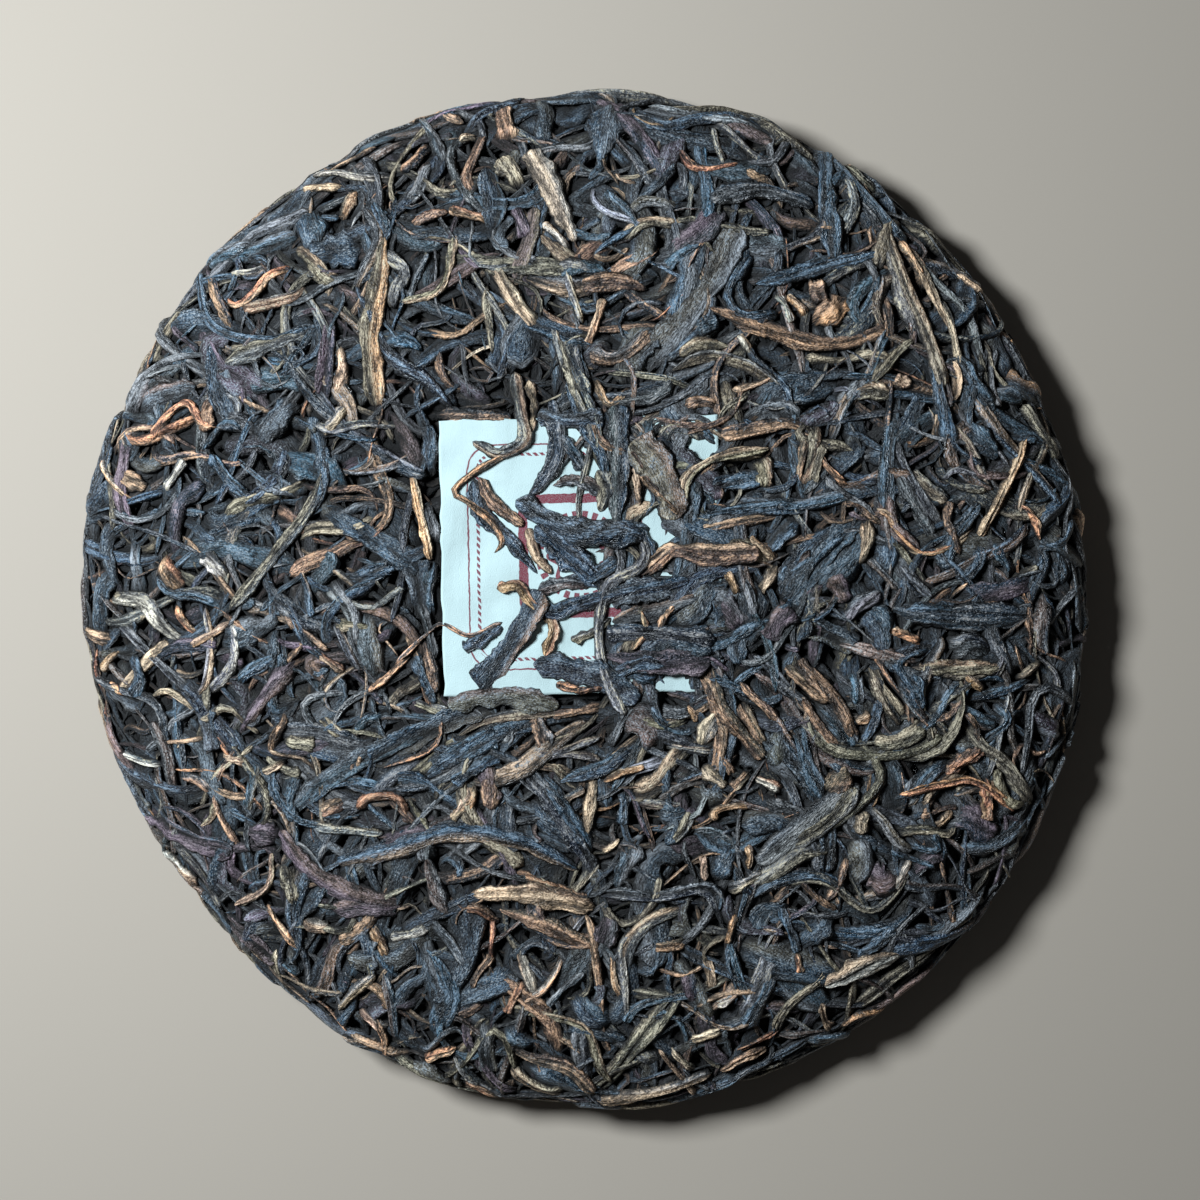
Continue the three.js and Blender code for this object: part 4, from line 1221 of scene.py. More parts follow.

# Leaves that stand out in the photograph, listed one by one: by kind, tint and second tint, each leaf's
# width in mm and the places that its midrib passes, in pixels, as x, y, x, y and so on
middleLeaves = {
    ("ink_twists", "ink", "charcoal"): [(2.6, 125, 770, 140, 800, 160, 830), (3.0, 627, 790, 622, 825)],
    ("ink_twists", "ink", "slate"): [(3.4, 428, 425, 431, 450, 430, 478),
        (3.0, 410, 650, 425, 680, 436, 704), (3.0, 753, 258, 730, 285, 728, 303, 745, 318, 778, 315),
        (2.2, 562, 340, 570, 370, 584, 405, 590, 430), (5.0, 416, 780, 455, 755, 500, 733, 560, 715),
        (2.2, 314, 802, 334, 783, 363, 780, 405, 791), (3.0, 972, 538, 976, 562, 955, 586),
        (3.2, 893, 662, 908, 686, 922, 710), (2.0, 960, 700, 1000, 690, 1040, 674),
        (2.2, 1072, 519, 1061, 542, 1030, 550), (3.4, 218, 330, 220, 370, 225, 425),
        (3.0, 213, 455, 235, 485, 262, 510), (2.6, 300, 522, 322, 500, 327, 470, 325, 445),
        (2.6, 370, 195, 385, 225, 395, 245), (2.4, 575, 345, 583, 370, 590, 390),
        (4.4, 955, 355, 968, 385, 990, 415), (3.6, 132, 655, 143, 675, 138, 697),
        (3.0, 330, 650, 328, 620, 345, 598, 378, 580), (4.0, 738, 1035, 752, 1010, 765, 985, 775, 960),
        (3.0, 800, 1045, 825, 1038, 855, 1038), (4.2, 450, 778, 475, 765, 500, 752),
        (3.2, 560, 782, 600, 768, 625, 752, 640, 742), (4.6, 545, 785, 560, 803, 582, 835, 592, 860),
        (4.6, 770, 552, 782, 535, 802, 518), (5.4, 900, 612, 935, 615, 980, 620),
        (4.8, 902, 668, 912, 690, 918, 710), (2.6, 902, 832, 915, 845, 935, 848, 930, 830)],
    ("ink_twists", "ink", "soot"): [(2.2, 275, 590, 295, 615, 310, 645, 345, 670)],
    ("ink_twists", "slate", "ash"): [(1.8, 1003, 735, 985, 748, 981, 776),
        (3.2, 160, 575, 175, 592, 205, 597, 232, 610),
        (3.6, 720, 515, 745, 503, 800, 505, 850, 494, 875, 502), (4.0, 815, 702, 835, 722, 855, 745),
        (3.4, 855, 670, 858, 710)],
    ("ink_twists", "slate", "charcoal"): [(2.4, 778, 902, 790, 930, 797, 950),
        (4.6, 800, 725, 803, 755, 820, 800), (3.2, 875, 740, 900, 734, 930, 720, 950, 690, 980, 678),
        (3.6, 1032, 815, 1015, 825, 990, 842, 955, 848)],
    ("ink_twists", "slate", "ink"): [(3.4, 433, 560, 428, 590, 432, 622),
        (3.0, 282, 654, 250, 673, 238, 690), (2.4, 352, 736, 365, 722, 389, 713),
        (3.2, 990, 544, 1002, 562, 1012, 577), (2.4, 994, 701, 1005, 720, 982, 741),
        (4.0, 625, 105, 660, 130, 700, 122, 740, 122, 775, 138), (4.2, 930, 355, 940, 410, 945, 455),
        (3.0, 855, 955, 875, 940, 893, 925), (4.4, 450, 762, 480, 745, 510, 728),
        (2.6, 650, 705, 662, 722, 690, 730, 702, 718), (5.6, 783, 600, 795, 575, 815, 545, 860, 515),
        (3.4, 745, 900, 778, 878, 822, 875, 855, 900)],
    ("ink_twists", "slate", "olive"): [(2.6, 260, 755, 255, 785, 245, 820)],
    ("ink_twists", "slate", "tan"): [(2.6, 882, 265, 872, 300, 855, 325)],
    ("ink_twists", "soot", "ink"): [(3.0, 462, 135, 485, 115, 520, 102)],
    ("charcoal_twists", "ash", "brown"): [(1.5, 330, 468, 360, 473, 390, 468, 420, 450)],
    ("charcoal_twists", "ash", "charcoal"): [(2.2, 1017, 777, 1026, 736, 1030, 702, 1047, 687, 1077, 710),
        (1.6, 927, 725, 878, 751, 859, 778), (2.4, 648, 102, 694, 117, 774, 133),
        (2.6, 125, 392, 160, 372, 205, 362), (1.8, 795, 133, 782, 150, 770, 165, 740, 165),
        (2.0, 900, 240, 930, 280, 960, 310, 975, 345, 988, 375),
        (2.2, 521, 717, 512, 728, 509, 740, 500, 746), (2.0, 940, 480, 955, 470, 978, 478),
        (2.2, 740, 572, 748, 590, 755, 615), (3.6, 840, 625, 855, 608, 880, 592),
        (5.6, 757, 864, 800, 826, 835, 798, 860, 783)],
    ("charcoal_twists", "ash", "olive"): [(2.4, 862, 800, 880, 818, 895, 840, 912, 850)],
    ("charcoal_twists", "ash", "slate"): [(1.8, 585, 970, 565, 985, 548, 1003)],
    ("charcoal_twists", "bark", "charcoal"): [(3.8, 428, 855, 436, 889, 450, 916),
        (2.0, 862, 552, 880, 572, 898, 590)],
    ("charcoal_twists", "bark", "slate"): [(2.2, 385, 970, 393, 1000, 397, 1050)],
    ("charcoal_twists", "charcoal", "ash"): [(3.0, 424, 500, 431, 522, 433, 548),
        (2.6, 420, 600, 430, 630, 435, 660), (3.4, 655, 708, 675, 713, 700, 709),
        (1.8, 340, 745, 312, 720, 306, 704, 322, 694, 365, 692),
        (2.0, 1070, 498, 1077, 527, 1089, 563, 1092, 608), (2.6, 115, 618, 150, 650, 180, 680, 195, 695),
        (2.2, 634, 701, 622, 722, 610, 748), (2.6, 895, 440, 905, 472, 925, 505, 945, 540),
        (2.2, 895, 558, 910, 578, 930, 598)],
    ("charcoal_twists", "charcoal", "bark"): [(3.4, 155, 720, 168, 750, 172, 780, 170, 800),
        (2.2, 890, 672, 910, 702, 928, 725)],
    ("charcoal_twists", "charcoal", "brown"): [(4.8, 612, 622, 655, 608, 712, 590)],
    ("charcoal_twists", "charcoal", "moss"): [(2.6, 622, 228, 645, 205, 688, 215),
        (4.6, 490, 1015, 487, 1045, 490, 1070)],
    ("charcoal_twists", "charcoal", "slate"): [(2.0, 430, 255, 420, 275, 412, 300),
        (2.2, 802, 495, 818, 478, 830, 462)],
    ("charcoal_twists", "charcoal", "soot"): [(5.5, 944, 650, 966, 648, 988, 656)],
    ("charcoal_twists", "charcoal", "tan"): [(2.6, 365, 210, 380, 235, 372, 262, 350, 300),
        (2.4, 333, 617, 345, 640, 362, 675)],
    ("charcoal_twists", "slate", "ash"): [(2.6, 420, 120, 435, 140, 445, 165)],
    ("charcoal_twists", "soot", "charcoal"): [(2.0, 635, 175, 650, 165, 680, 172, 680, 195, 665, 200)],
    ("broad_leaves", "ash", "ink"): [(3.8, 258, 478, 280, 485, 300, 497)],
    ("broad_leaves", "ash", "slate"): [(4.8, 616, 886, 627, 862, 636, 842)],
    ("broad_leaves", "bark", "charcoal"): [(6.5, 625, 712, 645, 722, 668, 742)],
    ("broad_leaves", "charcoal", "bark"): [(6.0, 140, 412, 165, 398, 200, 388)],
    ("broad_leaves", "charcoal", "ink"): [(5.0, 415, 560, 421, 590, 423, 620),
        (6.4, 255, 445, 278, 420, 298, 398), (4.6, 205, 700, 210, 725, 216, 750)],
    ("broad_leaves", "charcoal", "olive"): [(5.0, 368, 610, 370, 640, 378, 680)],
    ("broad_leaves", "ink", "charcoal"): [(4.6, 917, 398, 910, 420, 902, 440)],
    ("broad_leaves", "ink", "gold"): [(6.6, 996, 378, 1020, 388, 1044, 400)],
    ("broad_leaves", "ink", "ink"): [(4.6, 694, 332, 706, 326, 718, 322)],
    ("broad_leaves", "ink", "olive"): [(6.0, 740, 825, 770, 818, 800, 830)],
    ("broad_leaves", "ink", "slate"): [(5.0, 487, 170, 495, 205, 492, 240),
        (5.0, 955, 415, 975, 440, 995, 460), (3.6, 362, 925, 372, 945, 375, 960),
        (5.5, 575, 990, 590, 1010, 615, 1020), (5.0, 655, 812, 675, 814, 690, 810),
        (6.4, 866, 612, 878, 628, 885, 650)],
    ("broad_leaves", "ink", "soot"): [(6.0, 532, 800, 550, 825, 585, 850)],
    ("broad_leaves", "moss", "ash"): [(7.0, 850, 838, 860, 860, 855, 885)],
    ("broad_leaves", "moss", "charcoal"): [(6.5, 775, 730, 780, 748, 785, 768)],
    ("broad_leaves", "slate", "ash"): [(5.0, 224, 362, 229, 395, 238, 425),
        (6.0, 878, 735, 900, 740, 925, 724)],
    ("broad_leaves", "slate", "charcoal"): [(7.0, 803, 592, 830, 570, 860, 540, 867, 518)],
    ("broad_leaves", "slate", "ink"): [(5.0, 745, 250, 728, 280, 730, 300),
        (5.4, 455, 1000, 490, 985, 520, 968), (4.0, 505, 1020, 520, 1035, 538, 1048),
        (5.2, 753, 926, 766, 908, 787, 916), (6.0, 830, 910, 812, 930, 800, 948),
        (5.0, 712, 878, 724, 858, 732, 845)],
    ("plum_leaves", "bark", "olive"): [(4.2, 535, 210, 530, 240, 520, 270, 518, 285)],
    ("plum_leaves", "bark", "plum"): [(4.8, 830, 575, 840, 590, 846, 602),
        (6.4, 868, 870, 882, 875, 892, 868)],
    ("plum_leaves", "ink", "plum"): [(6.0, 950, 810, 970, 820, 990, 838)],
    ("plum_leaves", "plum", "ash"): [(4.6, 610, 915, 605, 935, 600, 948),
        (5.0, 722, 600, 735, 615, 744, 632)],
    ("plum_leaves", "plum", "bark"): [(4.4, 300, 655, 268, 695, 240, 735),
        (4.8, 326, 908, 362, 905, 400, 905), (5.2, 487, 765, 489, 785, 495, 805),
        (5.4, 768, 640, 780, 620, 792, 608)],
    ("plum_leaves", "plum", "charcoal"): [(5.6, 723, 205, 700, 235, 672, 250)],
    ("plum_leaves", "plum", "ink"): [(5.6, 955, 602, 1000, 590, 1041, 582),
        (3.4, 688, 965, 690, 985, 697, 1000)],
    ("plum_leaves", "plum", "plum"): [(5.0, 248, 828, 265, 832, 282, 838)],
    ("plum_leaves", "plum", "soot"): [(3.2, 330, 305, 330, 350, 322, 415),
        (3.6, 515, 205, 522, 225, 528, 240)],
    ("olive_leaves", "ash", "bark"): [(1.8, 712, 130, 718, 155, 728, 172),
        (1.8, 515, 750, 550, 754, 580, 744, 602, 737), (1.7, 535, 764, 560, 755, 585, 756, 602, 761),
        (1.6, 662, 746, 700, 750, 720, 752)],
    ("olive_leaves", "ash", "charcoal"): [(2.4, 840, 172, 850, 190, 852, 215, 838, 238)],
    ("olive_leaves", "ash", "ink"): [(2.4, 573, 335, 577, 360, 590, 400)],
    ("olive_leaves", "ash", "moss"): [(2.6, 721, 1088, 774, 1077, 828, 1054),
        (1.8, 463, 255, 480, 285, 497, 310, 517, 350)],
    ("olive_leaves", "ash", "olive"): [(2.6, 306, 825, 343, 829, 386, 832),
        (3.0, 560, 91, 617, 94, 690, 102)],
    ("olive_leaves", "ash", "pale"): [(1.8, 993, 634, 999, 655, 988, 687),
        (1.6, 221, 277, 250, 275, 268, 268, 272, 250), (1.6, 690, 180, 690, 200, 687, 222),
        (2.0, 775, 295, 785, 310, 790, 325), (2.4, 232, 618, 238, 650, 225, 680, 200, 697),
        (2.0, 640, 925, 622, 945, 625, 985, 628, 1018)],
    ("olive_leaves", "ash", "slate"): [(2.4, 300, 415, 330, 430, 360, 425, 400, 425),
        (2.2, 455, 1050, 470, 1075, 490, 1090)],
    ("olive_leaves", "ash", "straw"): [(1.8, 565, 270, 575, 300, 583, 325)],
    ("olive_leaves", "ash", "tan"): [(2.2, 552, 320, 558, 345, 570, 375),
        (3.8, 872, 218, 888, 255, 900, 300, 925, 345), (2.2, 208, 606, 214, 640, 210, 680, 196, 698),
        (3.2, 625, 980, 628, 945, 650, 920, 700, 903)],
    ("olive_leaves", "bark", "ash"): [(1.9, 635, 803, 665, 805, 695, 806)],
    ("olive_leaves", "brown", "ash"): [(3.0, 240, 310, 262, 308, 297, 298, 305, 285)],
    ("olive_leaves", "moss", "ash"): [(3.2, 1022, 405, 1040, 435, 1062, 462),
        (4.0, 745, 890, 775, 865, 800, 850, 830, 850)],
    ("olive_leaves", "moss", "charcoal"): [(2.2, 927, 714, 950, 695, 984, 674),
        (2.2, 838, 158, 860, 180, 885, 195)],
    ("olive_leaves", "moss", "ink"): [(1.8, 594, 365, 614, 372, 667, 380, 703, 394)],
    ("olive_leaves", "moss", "olive"): [(4.4, 286, 860, 295, 885, 298, 907),
        (4.2, 282, 738, 298, 742, 318, 746), (2.4, 650, 100, 690, 112, 735, 110, 760, 125),
        (2.6, 870, 385, 890, 360, 912, 340)],
    ("olive_leaves", "moss", "straw"): [(4.6, 872, 742, 898, 740, 930, 720)],
    ("olive_leaves", "moss", "tan"): [(3.0, 620, 240, 648, 225, 690, 230),
        (3.4, 848, 398, 870, 393, 897, 400)],
    ("olive_leaves", "olive", "ash"): [(2.4, 408, 700, 428, 706, 450, 712),
        (2.6, 671, 372, 705, 358, 744, 366, 780, 390, 801, 409),
        (2.4, 450, 742, 482, 722, 525, 714, 560, 713), (3.0, 692, 810, 682, 830, 670, 847)],
    ("olive_leaves", "olive", "brown"): [(3.2, 815, 420, 812, 455, 802, 492),
        (4.0, 808, 490, 815, 465, 820, 445), (4.5, 757, 455, 764, 470, 766, 488),
        (3.8, 910, 667, 950, 668, 990, 670)],
    ("olive_leaves", "olive", "charcoal"): [(3.8, 910, 472, 928, 490, 945, 502)],
    ("olive_leaves", "olive", "ink"): [(3.0, 870, 664, 884, 700, 899, 724)],
    ("olive_leaves", "olive", "straw"): [(2.2, 318, 712, 334, 727, 351, 739),
        (4.4, 502, 160, 513, 175, 522, 190), (2.6, 775, 1045, 778, 1020, 790, 1000, 820, 975, 835, 950),
        (3.6, 865, 658, 878, 682, 900, 720)],
    ("olive_leaves", "olive", "tan"): [(3.0, 679, 357, 702, 346, 732, 349),
        (1.8, 218, 795, 215, 815, 203, 825), (2.2, 500, 1002, 560, 1015, 588, 1028, 600, 1062, 612, 1080)],
    ("olive_leaves", "pale", "ash"): [(2.4, 392, 936, 414, 932, 436, 924),
        (2.6, 165, 495, 175, 480, 188, 460), (2.6, 313, 178, 340, 175, 365, 182, 395, 178),
        (3.2, 112, 598, 145, 600, 165, 625, 195, 645), (1.8, 712, 1002, 725, 997, 738, 988)],
    ("olive_leaves", "pale", "charcoal"): [(3.6, 205, 553, 218, 565, 230, 580)],
    ("olive_leaves", "pale", "slate"): [(2.2, 125, 752, 145, 762, 165, 764)],
    ("olive_leaves", "straw", "moss"): [(1.6, 668, 1043, 682, 1058, 695, 1070)],
    ("olive_leaves", "straw", "olive"): [(5.0, 720, 558, 750, 550, 775, 562)],
    ("brown_leaves", "bark", "ash"): [(2.6, 425, 640, 433, 668, 436, 694),
        (3.6, 590, 352, 610, 360, 632, 350, 655, 325), (4.0, 536, 716, 542, 732, 549, 750)],
    ("brown_leaves", "bark", "brown"): [(3.8, 571, 292, 614, 284, 648, 290), (5.0, 808, 296, 828, 292),
        (3.0, 682, 407, 702, 402, 722, 407), (1.6, 744, 376, 738, 405, 725, 420, 700, 430, 679, 436),
        (4.0, 489, 765, 490, 785, 492, 810), (2.0, 495, 950, 480, 970, 472, 985)],
    ("brown_leaves", "bark", "olive"): [(6.0, 826, 792, 838, 780, 850, 774)],
    ("brown_leaves", "bark", "rust"): [(2.6, 410, 230, 430, 218, 450, 215)],
    ("brown_leaves", "bark", "tan"): [(2.6, 671, 537, 732, 523, 786, 514)],
    ("brown_leaves", "brown", "ash"): [(2.6, 178, 778, 200, 778, 218, 795)],
    ("brown_leaves", "brown", "bark"): [(2.6, 487, 130, 478, 150, 468, 180, 477, 200),
        (2.4, 552, 716, 580, 711, 606, 706), (3.8, 713, 695, 732, 720, 750, 738),
        (1.8, 719, 754, 728, 765, 735, 778), (2.2, 740, 682, 755, 698, 778, 720),
        (2.8, 802, 698, 818, 725, 842, 755)],
    ("brown_leaves", "brown", "ink"): [(3.4, 720, 436, 760, 428, 790, 424, 812, 432),
        (2.6, 212, 275, 220, 300, 236, 335), (3.0, 430, 145, 415, 165, 402, 175),
        (4.8, 870, 868, 877, 881, 882, 895)],
    ("brown_leaves", "brown", "moss"): [(3.0, 650, 945, 672, 942, 690, 940)],
    ("brown_leaves", "brown", "olive"): [(2.2, 795, 490, 800, 465, 805, 440),
        (3.4, 740, 702, 755, 728, 768, 752), (3.8, 785, 665, 805, 682, 835, 700)],
    ("brown_leaves", "brown", "rust"): [(2.4, 358, 808, 373, 796, 398, 797, 409, 816),
        (2.4, 450, 212, 470, 218, 492, 222), (5.0, 168, 553, 173, 572, 186, 588)],
    ("brown_leaves", "brown", "tan"): [(3.6, 315, 812, 335, 806, 352, 797),
        (4.8, 503, 112, 506, 128, 508, 145)],
    ("brown_leaves", "gold", "moss"): [(2.0, 735, 912, 730, 930, 725, 947)],
    ("brown_leaves", "olive", "bark"): [(3.0, 495, 1038, 530, 1055, 570, 1065, 595, 1090)],
    ("brown_leaves", "rust", "bark"): [(3.2, 943, 773, 960, 757, 980, 746),
        (2.4, 525, 976, 515, 995, 508, 1010)],
    ("brown_leaves", "rust", "brown"): [(2.2, 460, 906, 480, 908, 500, 922)],
    ("brown_leaves", "rust", "tan"): [(2.4, 465, 1082, 485, 1092, 503, 1101)],
    ("brown_leaves", "tan", "brown"): [(4.0, 124, 474, 137, 482, 149, 490),
        (2.0, 405, 122, 430, 112, 450, 120, 465, 125), (2.4, 720, 1070, 742, 1055, 768, 1049)],
    ("golden_tips", "brown", "tan"): [(3.0, 705, 955, 710, 975, 707, 990)],
    ("golden_tips", "gold", "bark"): [(2.2, 960, 674, 972, 683, 986, 692),
        (2.2, 746, 842, 750, 856, 748, 868)],
    ("golden_tips", "gold", "brown"): [(2.0, 786, 297, 800, 310, 806, 320),
        (2.6, 372, 922, 383, 940, 391, 962), (1.6, 682, 703, 692, 712, 696, 722),
        (2.4, 720, 567, 732, 580, 738, 600)],
    ("golden_tips", "gold", "moss"): [(3.0, 343, 222, 352, 205, 360, 195)],
    ("golden_tips", "gold", "rust"): [(3.4, 990, 775, 985, 795, 980, 818)],
    ("golden_tips", "gold", "straw"): [(1.9, 600, 782, 622, 772, 645, 766)],
    ("golden_tips", "gold", "tan"): [(2.5, 588, 345, 597, 320, 604, 300),
        (1.6, 262, 568, 255, 580, 247, 596), (2.2, 120, 650, 108, 665, 100, 675),
        (1.6, 612, 952, 615, 980, 622, 995), (1.9, 716, 820, 714, 811, 730, 806, 750, 805),
        (1.8, 873, 508, 885, 515, 895, 528), (2.2, 890, 630, 905, 635, 922, 643),
        (2.0, 938, 610, 962, 612, 980, 606), (2.4, 855, 722, 865, 716, 872, 712),
        (2.2, 932, 826, 945, 815, 947, 806)],
    ("golden_tips", "pale", "bark"): [(2.4, 912, 852, 900, 872, 890, 895)],
    ("golden_tips", "pale", "rust"): [(2.4, 755, 778, 772, 785, 785, 792)],
    ("golden_tips", "pale", "tan"): [(2.2, 736, 334, 744, 345, 752, 356),
        (2.0, 543, 226, 556, 236, 571, 253)],
    ("golden_tips", "straw", "ash"): [(3.0, 322, 432, 335, 424, 346, 408),
        (4.2, 717, 712, 707, 730, 702, 747), (2.8, 727, 890, 745, 880, 762, 872)],
    ("golden_tips", "straw", "moss"): [(2.2, 937, 300, 948, 325, 953, 348, 960, 382)],
    ("golden_tips", "straw", "olive"): [(1.9, 1013, 682, 1027, 670, 1041, 658),
        (3.0, 702, 765, 715, 777, 727, 785), (3.0, 720, 460, 750, 452, 770, 456),
        (2.6, 760, 595, 770, 575, 778, 565), (3.6, 858, 810, 862, 832)],
    ("golden_tips", "straw", "tan"): [(1.8, 458, 143, 470, 140, 480, 138)],
    ("golden_tips", "tan", "ash"): [(3.0, 591, 1100, 656, 1088, 713, 1073),
        (2.6, 950, 272, 968, 285, 985, 298), (2.4, 340, 1008, 355, 990, 378, 972),
        (1.7, 800, 692, 808, 712, 800, 722)],
    ("golden_tips", "tan", "bark"): [(3.4, 892, 380, 900, 384, 908, 388),
        (1.6, 600, 852, 612, 845, 620, 838), (2.0, 702, 852, 705, 880), (2.2, 780, 720, 797, 742)],
    ("golden_tips", "tan", "brown"): [(2.6, 452, 818, 472, 797, 470, 775),
        (2.0, 223, 753, 237, 758, 251, 765), (3.0, 338, 342, 345, 370, 338, 400),
        (2.0, 304, 192, 325, 190, 345, 188), (1.6, 930, 372, 936, 400, 934, 440),
        (2.0, 820, 1000, 825, 1020, 835, 1028), (1.7, 902, 535, 910, 550, 932, 552, 960, 540, 980, 525)],
    ("golden_tips", "tan", "gold"): [(2.2, 594, 374, 603, 398, 613, 405, 634, 384),
        (2.0, 236, 620, 220, 630, 195, 645), (2.6, 466, 778, 472, 795, 456, 815),
        (2.4, 750, 537, 768, 552, 778, 562)],
    ("golden_tips", "tan", "olive"): [(2.5, 897, 236, 927, 290, 958, 351),
        (2.4, 750, 772, 740, 780, 730, 790)],
    ("golden_tips", "tan", "pale"): [(3.2, 303, 914, 314, 922, 330, 926)],
    ("golden_tips", "tan", "rust"): [(2.4, 316, 652, 330, 661, 346, 671), (2.2, 866, 515, 862, 561)],
    ("golden_tips", "tan", "slate"): [(2.2, 560, 802, 572, 795, 585, 788)],
    ("golden_tips", "tan", "straw"): [(2.2, 265, 771, 276, 766, 288, 758),
        (4.0, 493, 263, 512, 297, 538, 328), (1.6, 150, 698, 170, 690, 190, 703, 198, 712),
        (2.4, 690, 1038, 710, 1030, 727, 1028), (2.6, 594, 776, 591, 808, 586, 835),
        (3.6, 868, 518, 865, 540, 857, 565)],
    ("rust_stems", "bark", "ash"): [(1.3, 421, 676, 427, 700, 441, 722, 439, 740, 426, 753, 382, 768),
        (1.3, 862, 640, 880, 665, 900, 695, 928, 727)],
    ("rust_stems", "brown", "rust"): [(2.0, 818, 452, 830, 472, 850, 488)],
    ("rust_stems", "brown", "tan"): [(1.6, 267, 904, 301, 947), (1.6, 378, 1015, 385, 1035, 388, 1060)],
    ("rust_stems", "gold", "rust"): [(1.3, 874, 504, 904, 542, 927, 554, 973, 538)],
    ("rust_stems", "rust", "bark"): [(1.8, 678, 155, 690, 170, 710, 173, 740, 165),
        (3.2, 945, 770, 960, 760, 980, 748)],
    ("rust_stems", "rust", "brown"): [(1.9, 891, 632, 907, 637, 923, 643), (2.5, 981, 774, 985, 813),
        (2.2, 218, 408, 192, 424, 170, 434, 150, 442, 130, 440, 121, 422)],
    ("rust_stems", "rust", "tan"): [(1.6, 1012, 500, 1030, 518, 1037, 541),
        (2.0, 297, 266, 272, 280, 258, 296, 240, 308, 228, 300, 232, 285),
        (2.0, 178, 603, 188, 622, 203, 636), (1.8, 795, 948, 797, 958, 798, 969)],
    ("rust_stems", "tan", "bark"): [(2.0, 893, 235, 910, 262, 925, 290)],
    ("rust_stems", "tan", "brown"): [(1.8, 369, 692, 391, 674, 413, 650),
        (1.5, 944, 613, 965, 612, 985, 604, 1008, 606), (1.4, 110, 684, 120, 686, 125, 698)],
    ("rust_stems", "tan", "gold"): [(1.6, 840, 1025, 860, 1012, 895, 1003)],
    ("rust_stems", "tan", "pale"): [(1.6, 102, 455, 118, 485, 138, 505),
        (1.8, 520, 999, 543, 988, 557, 968, 565, 950)],
    ("rust_stems", "tan", "rust"): [(2.4, 425, 1058, 440, 1050, 458, 1045)],
    ("olive_leaves", "olive", "bark"): [(2.6, 640, 718, 665, 725, 690, 717)],
}
largeLeaves = {
    ("ink_twists", "ink", "slate"): [(3.0, 202, 274, 217, 328, 274, 343, 320, 328),
        (4.8, 822, 152, 824, 205, 832, 262), (3.6, 660, 530, 732, 513, 820, 503)],
    ("ink_twists", "ink", "tan"): [(5.0, 580, 870, 531, 843, 462, 828, 404, 843, 336, 862)],
    ("ink_twists", "slate", "ash"): [(4.8, 204, 268, 244, 253, 300, 238)],
    ("ink_twists", "slate", "ink"): [(3.2, 755, 286, 805, 274, 882, 255)],
    ("charcoal_twists", "charcoal", "ash"): [(3.4, 897, 477, 931, 538)],
    ("charcoal_twists", "charcoal", "ink"): [(4.4, 709, 202, 759, 194, 813, 209)],
    ("charcoal_twists", "slate", "ink"): [(5.5, 889, 606, 943, 617, 1027, 617)],
    ("charcoal_twists", "soot", "charcoal"): [(3.6, 527, 774, 561, 816, 596, 874),
        (3.4, 598, 893, 656, 894, 709, 889, 725, 924)],
    ("broad_leaves", "charcoal", "ink"): [(7.0, 600, 165, 605, 135, 612, 108)],
    ("broad_leaves", "ink", "slate"): [(5.2, 866, 512, 828, 550, 790, 603)],
    ("broad_leaves", "ink", "soot"): [(8.0, 312, 257, 336, 254, 364, 248)],
    ("broad_leaves", "moss", "ash"): [(6.4, 735, 228, 708, 290, 640, 370)],
    ("broad_leaves", "moss", "ink"): [(6.5, 372, 762, 410, 740, 460, 716, 500, 700)],
    ("broad_leaves", "slate", "charcoal"): [(4.6, 283, 822, 340, 770, 440, 725)],
    ("broad_leaves", "slate", "ink"): [(5.4, 324, 508, 366, 534, 424, 569)],
    ("plum_leaves", "plum", "bark"): [(5.0, 282, 828, 309, 866, 358, 893, 404, 904)],
    ("plum_leaves", "plum", "slate"): [(5.2, 144, 805, 186, 835, 236, 851)],
    ("olive_leaves", "ash", "moss"): [(4.0, 228, 366, 274, 347, 313, 332)],
    ("olive_leaves", "moss", "ash"): [(4.4, 855, 786, 828, 820, 778, 851)],
    ("olive_leaves", "moss", "charcoal"): [(3.0, 328, 466, 305, 519, 232, 611),
        (2.4, 774, 885, 820, 878, 866, 908, 893, 889, 908, 855)],
    ("olive_leaves", "moss", "ink"): [(3.6, 557, 320, 577, 378, 592, 427)],
    ("olive_leaves", "olive", "brown"): [(3.2, 916, 667, 960, 669, 1000, 667)],
    ("olive_leaves", "olive", "gold"): [(5.0, 387, 240, 381, 285, 372, 340, 377, 408)],
    ("olive_leaves", "olive", "tan"): [(2.2, 458, 228, 443, 290, 401, 305),
        (3.2, 878, 213, 897, 274, 927, 343, 943, 389)],
    ("brown_leaves", "bark", "brown"): [(4.0, 797, 660, 835, 702, 855, 744)],
    ("brown_leaves", "brown", "bark"): [(4.4, 707, 309, 774, 332, 832, 346, 889, 332)],
    ("brown_leaves", "brown", "moss"): [(3.3, 500, 908, 550, 924, 600, 950),
        (3.6, 709, 663, 721, 705, 763, 759)],
    ("brown_leaves", "gold", "brown"): [(5.6, 812, 324, 830, 313, 846, 300)],
    ("golden_tips", "gold", "straw"): [(2.4, 412, 473, 422, 519, 431, 561)],
    ("golden_tips", "pale", "tan"): [(4.8, 822, 983, 858, 965, 898, 952)],
    ("golden_tips", "straw", "pale"): [(4.8, 531, 152, 555, 198, 576, 244)],
    ("golden_tips", "tan", "brown"): [(4.4, 470, 893, 531, 893, 596, 906)],
    ("golden_tips", "tan", "gold"): [(2.6, 1027, 431, 1004, 485, 977, 538)],
    ("golden_tips", "tan", "straw"): [(2.2, 274, 851, 270, 885, 236, 904)],
    ("rust_stems", "rust", "gold"): [(2.3, 897, 793, 943, 782, 973, 780, 1012, 809)],
    ("rust_stems", "rust", "tan"): [(2.4, 223, 428, 206, 424, 193, 406, 176, 414, 156, 442)],
}
